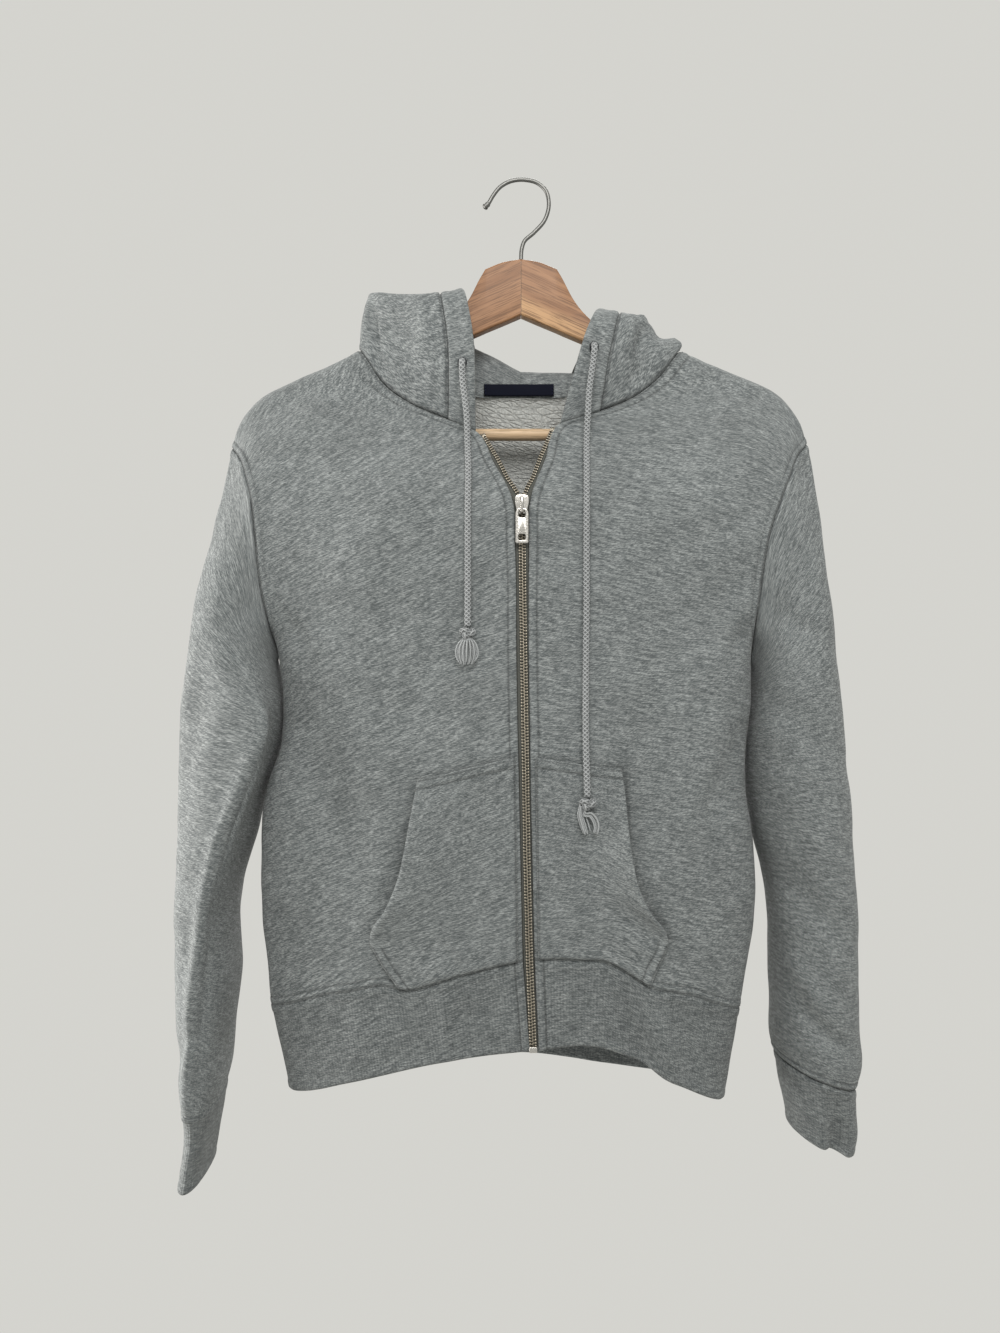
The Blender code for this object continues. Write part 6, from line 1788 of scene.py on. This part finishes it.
def make_label(weave, thread):
    points, faces, uv = [], [], []
    columns, rows = LABEL_GRID
    for thick in (LABEL_THICK, 0):
        for t in np.linspace(0, 1, rows):
            for x in np.linspace(-1, 1, columns):
                edge = max(abs(x) - 0.97, 0) * 10 + max(abs(2 * t - 1) - 0.9, 0) * 3
                across, depth, height = label_place(x, t)
                points.append((across, depth + edge * 0.4 - thick, height))
    half = rows * columns

    def add(ring):
        faces.append(ring)
        uv.extend((points[i][0] * MM, points[i][2] * MM) for i in ring)

    for r in range(rows - 1):
        for c in range(columns - 1):
            a = r * columns + c
            ring = (a, a + 1, a + 1 + columns, a + columns)
            add(ring)
            add(tuple(half + i for i in reversed(ring)))
    last = rows * columns - 1
    rim = list(range(columns)) + list(range(2 * columns - 1, last + 1, columns))
    rim += list(range(last - 1, last - columns, -1)) + list(range(last + 1 - 2 * columns, 0, -columns))
    for a, b in zip(rim, rim[1:] + rim[:1]):
        add((a, half + a, half + b, b))
    patch = mesh_object("label_patch", points, faces, [weave], None, uv)
    lines = []
    for x in (-LABEL_SEAM, LABEL_SEAM):
        line = np.array([label_place(x, t) for t in np.linspace(0, 1, 9)]) - (0, LABEL_THICK, 0)
        lines.append((line, np.array([(0, -1, 0)] * 9)))
    along_seams = stitch_rows("label_stitches", lines, thread)
    dress([patch, along_seams], "label")


def make_knot(name, centre, cord_weave):
    """An overhand knot pulled tight."""
    wide, deep, tall = (s - KNOT_CORD for s in KNOT_SIZE)
    route = []
    for t in np.linspace(0, 2 * math.pi, 97):
        x = (math.sin(t) + 2 * math.sin(2 * t)) / 3
        z = (math.cos(t) - 2 * math.cos(2 * t)) / 3
        y = -math.sin(3 * t)
        route.append(centre + np.array((x * wide * 1.05, y * deep * 0.8, z * tall * 1.2)))
    return tube(name, route, KNOT_CORD, cord_weave, 14)


def strand_routes(side):
    """The strands under a knot, from its middle: a lantern on one cord, a horseshoe on the other."""
    routes = []
    if side == -1:
        for k in range(LANTERN_STRANDS):
            t = k / (LANTERN_STRANDS - 1)
            deep = math.sin(math.pi * t) * 4.6 * (1 if k % 2 else -1)
            bulge = LANTERN_BULGE[0] + (LANTERN_BULGE[1] - LANTERN_BULGE[0]) * t
            end = LANTERN_END[0] + (LANTERN_END[1] - LANTERN_END[0]) * (0.5 + (t - 0.5) * 0.9)
            low = -24.2 + 1.2 * math.cos(k * 2.1)
            routes.append([(bulge * wide, deep * out, z) for wide, out, z in LANTERN_ROUTE]
                          + [(end, deep * 0.5, low)])
        return routes
    for k, strand in enumerate(HORSESHOE):
        deep = 1.6 * math.cos(k * 2.4)
        routes.append([(x, deep, z) for x, z in strand])
    return routes


# The worked eyelet that each cord comes out of, from the cord's first point.
EYELET_PLACE, EYELET_HALF, EYELET_RADIUS = (0, 4.4, 1.2), (3.2, 4.0), 0.7


def make_drawcord(side, cord_weave, strand_fibre, thread):
    name = SIDE_NAME[side]
    points = np.array(cord_points(side))
    entry = points[0] + np.array((0, 6.0, 2.6))
    route = smooth_route([entry, points[0] + np.array((0, 2.6, 2.2))] + [tuple(p) for p in points], 150)
    radii = np.full(len(route), CORD_RADIUS - 0.25)
    radii += 0.07 * np.sin(np.arange(len(route)) * 1.9)
    cord = tube("drawcord_%s_braid" % name, route, radii, cord_weave, 18, 0.94)
    middle = points[0] + np.array(EYELET_PLACE)
    rim = [middle + np.array((EYELET_HALF[0] * math.cos(a), 0, EYELET_HALF[1] * math.sin(a)))
           for a in np.linspace(0, 2 * math.pi, 41)]
    eyelet = tube("eyelet_%s" % name, rim, EYELET_RADIUS, thread, 8)
    dress([cord, eyelet], "drawcord_" + name)
    head = points[-1] + np.array((0, 0, -KNOT_SIZE[2] - 0.3))
    parts = [make_knot("knot_%s" % name, head, cord_weave)]
    for k, strand in enumerate(strand_routes(side)):
        path = smooth_route([head + np.array(p, float) for p in strand], 22)
        radii = STRAND_WIRE * (1 - 0.25 * np.linspace(0, 1, 22) ** 3)
        parts.append(tube("strand_%s_%d" % (name, k), path, radii, strand_fibre, 6))
    tassel = join_objects(parts, "tassel_%s_strands" % name)
    dress([tassel], "tassel_" + name)


# ---------------------------------------------------------------- the hanger
WOOD_LIGHT, WOOD_DARK = (0.37, 0.198, 0.103), (0.225, 0.108, 0.050)
PALE_STRIP = (0.50, 0.30, 0.155)
CORNER = 2.0


# Where an arm's sections lie: runs from x to x and how many, closer in the joint's step.
ARM_RUNS = ((ARM[0][0], 31, 14), (31.6, 44, 9), (46, 190, 40), (192, ARM[-1][0], 16))


def make_arm(side, finish):
    """One arm: flat boards' faces with rounded edges, on the outline of the arm's sections."""
    places = np.concatenate([np.linspace(*run) for run in ARM_RUNS])
    rows = []
    for x in places:
        top, under, half = read_table(ARM[:3], x) if x <= 31 else read_table(ARM[2:], x)
        middle, tall = (top + under) / 2, (top - under) / 2
        radius = min(CORNER, tall * 0.6, half * 0.6)
        ring = []
        for q, (sy, sz) in enumerate(((1, 1), (-1, 1), (-1, -1), (1, -1))):
            for k in range(5):
                angle = math.radians(90 * q + (k * 22.5))
                ring.append((side * x, sy * (half - radius) + radius * math.cos(angle),
                             middle + sz * (tall - radius) + radius * math.sin(angle)))
        rows.append(ring)
    arm = lofted("hanger_arm_%s_wood" % SIDE_NAME[side], rows, finish)
    arm.data.set_sharp_from_angle(angle=0.7)
    dress([arm], "hanger_arm_" + SIDE_NAME[side])


def make_bar(finish):
    rows = []
    for x in np.linspace(-BAR_HALF, BAR_HALF, 60):
        radius = BAR_RADIUS * (1 - 0.012 * (1 + math.sin(x * 0.35)))
        rows.append([(x, radius * math.cos(a), BAR_Z + radius * math.sin(a))
                     for a in np.linspace(0, 2 * math.pi, 33)[:-1]])
    bar = lofted("hanger_bar_wood", rows, finish)
    bar.data.set_sharp_from_angle(angle=0.9)
    dress([bar], "hanger_bar")


# The hook's turned end: shares of its length from the end, and the radius there.
HOOK_BALL = ((0.0, 0.004, 0.010, 0.018, 0.024, 0.028, 0.034, 0.040, 0.045),
             (0.6, 2.0, 2.75, 2.75, 2.2, 2.0, 2.45, 2.3, 1.75))


def make_hook(steel):
    route = smooth_route([(x, 0, z) for x, z in HOOK_ROUTE], 160)
    radii = np.full(len(route), WIRE_RADIUS)
    share = np.linspace(1, 0, len(route))
    near_end = share < HOOK_BALL[0][-1]
    radii[near_end] = np.interp(share[near_end], *HOOK_BALL)
    hook = tube("hanger_hook_steel", route, radii, steel, 20)
    dress([hook], "hanger_hook")


def make_trims():
    tape = plain_fibre("zip_tape_weave", (0.082, 0.084, 0.076), 0.9, 0.5, 0.35, 0.0003)
    brass = metal("teeth_metal", (0.36, 0.325, 0.265), 0.36)
    nickel = metal("nickel_plate", (0.56, 0.545, 0.515), 0.27)
    navy = plain_fibre("label_navy", (0.003, 0.004, 0.011), 0.35, 0.5, 0.5, 0.00015)
    navy_thread = plain_fibre("navy_thread", (0.02, 0.025, 0.055), 0.5, 1.2, 0.3)
    cord_weave = braid("cord_weave")
    eyelet_thread = plain_fibre("eyelet_thread", (0.022, 0.024, 0.027), 0.4, 1.0, 0.2)
    strand_fibre = plain_fibre("strand_fibre", (0.34, 0.355, 0.36), 0.4, 6.0, 0.3, 0.0002)
    steel = metal("satin_steel", (0.17, 0.17, 0.163), 0.42, 0.00003)
    for side in (-1, 1):
        make_zip_tape(side, tape, brass)
        make_drawcord(side, cord_weave, strand_fibre, eyelet_thread)
    make_slider(nickel)
    make_pull(nickel)
    make_stop(nickel)
    make_label(navy, navy_thread)
    make_arm(-1, wood("stained_board_right", WOOD_LIGHT, WOOD_DARK, 0.42))
    make_arm(1, wood("stained_board_left", WOOD_LIGHT, WOOD_DARK, -0.42, -0.0945, PALE_STRIP))
    make_bar(wood("pale_dowel", (0.66, 0.49, 0.32), (0.52, 0.36, 0.21), 0.0))
    make_hook(steel)


# ---------------------------------------------------------------- picture
CAMERA_PLACE = (-0.0183, -0.84, -0.4228)


def make_picture():
    camera_data = bpy.data.cameras.new("camera")
    camera_data.lens = 26
    camera_data.sensor_width = 36
    camera_data.sensor_fit = "AUTO"
    camera_data.clip_start = 0.02
    camera = in_scene("camera", camera_data)
    camera.location = CAMERA_PLACE
    camera.rotation_euler = (math.radians(90), 0, 0)
    bpy.context.scene.camera = camera


def add_light(name, place, target, size, power, colour):
    data = bpy.data.lights.new(name, "AREA")
    data.shape = "RECTANGLE"
    data.size, data.size_y = size
    data.energy = power
    data.color = colour
    light = in_scene(name, data)
    light.location = place
    way = Vector(target) - Vector(place)
    light.rotation_euler = way.to_track_quat("-Z", "Y").to_euler()


def make_floor():
    """A pale floor, well below the garment."""
    half, height = 1500.0, -2400.0
    corners = [(-half, -half, height), (half, -half, height), (half, half, height), (-half, half, height)]
    pale = plain_fibre("pale_floor", (0.62, 0.61, 0.58), 30, 30, 0.03, 0.0001)
    across = [(x * MM, y * MM) for x, y, _ in corners]
    mesh_object("floor", corners, [(0, 1, 2, 3)], [pale], None, across)


def make_room():
    world = bpy.data.worlds.new("room")
    world.use_nodes = True
    sky = world.node_tree.nodes["Background"]
    sky.inputs["Color"].default_value = (0.66, 0.655, 0.62, 1)
    sky.inputs["Strength"].default_value = 1.0
    bpy.context.scene.world = world
    bpy.context.scene.view_settings.view_transform = "Standard"
    add_light("window", (0.05, -1.38, 0.72), (0, 0, -0.34), (1.0, 0.9), 25, (1.0, 0.985, 0.96))
    add_light("side_window", (-1.3, -0.02, -0.62), (-0.2, 0, -0.6), (0.4, 1.1), 23, (1.0, 0.96, 0.92))
    add_light("back_fill", (0.3, 1.7, 1.75), (0, 0, -0.4), (1.2, 1.0), 30, (1.0, 0.99, 0.97))


make_picture()
make_garment()
make_trims()
make_room()
make_floor()
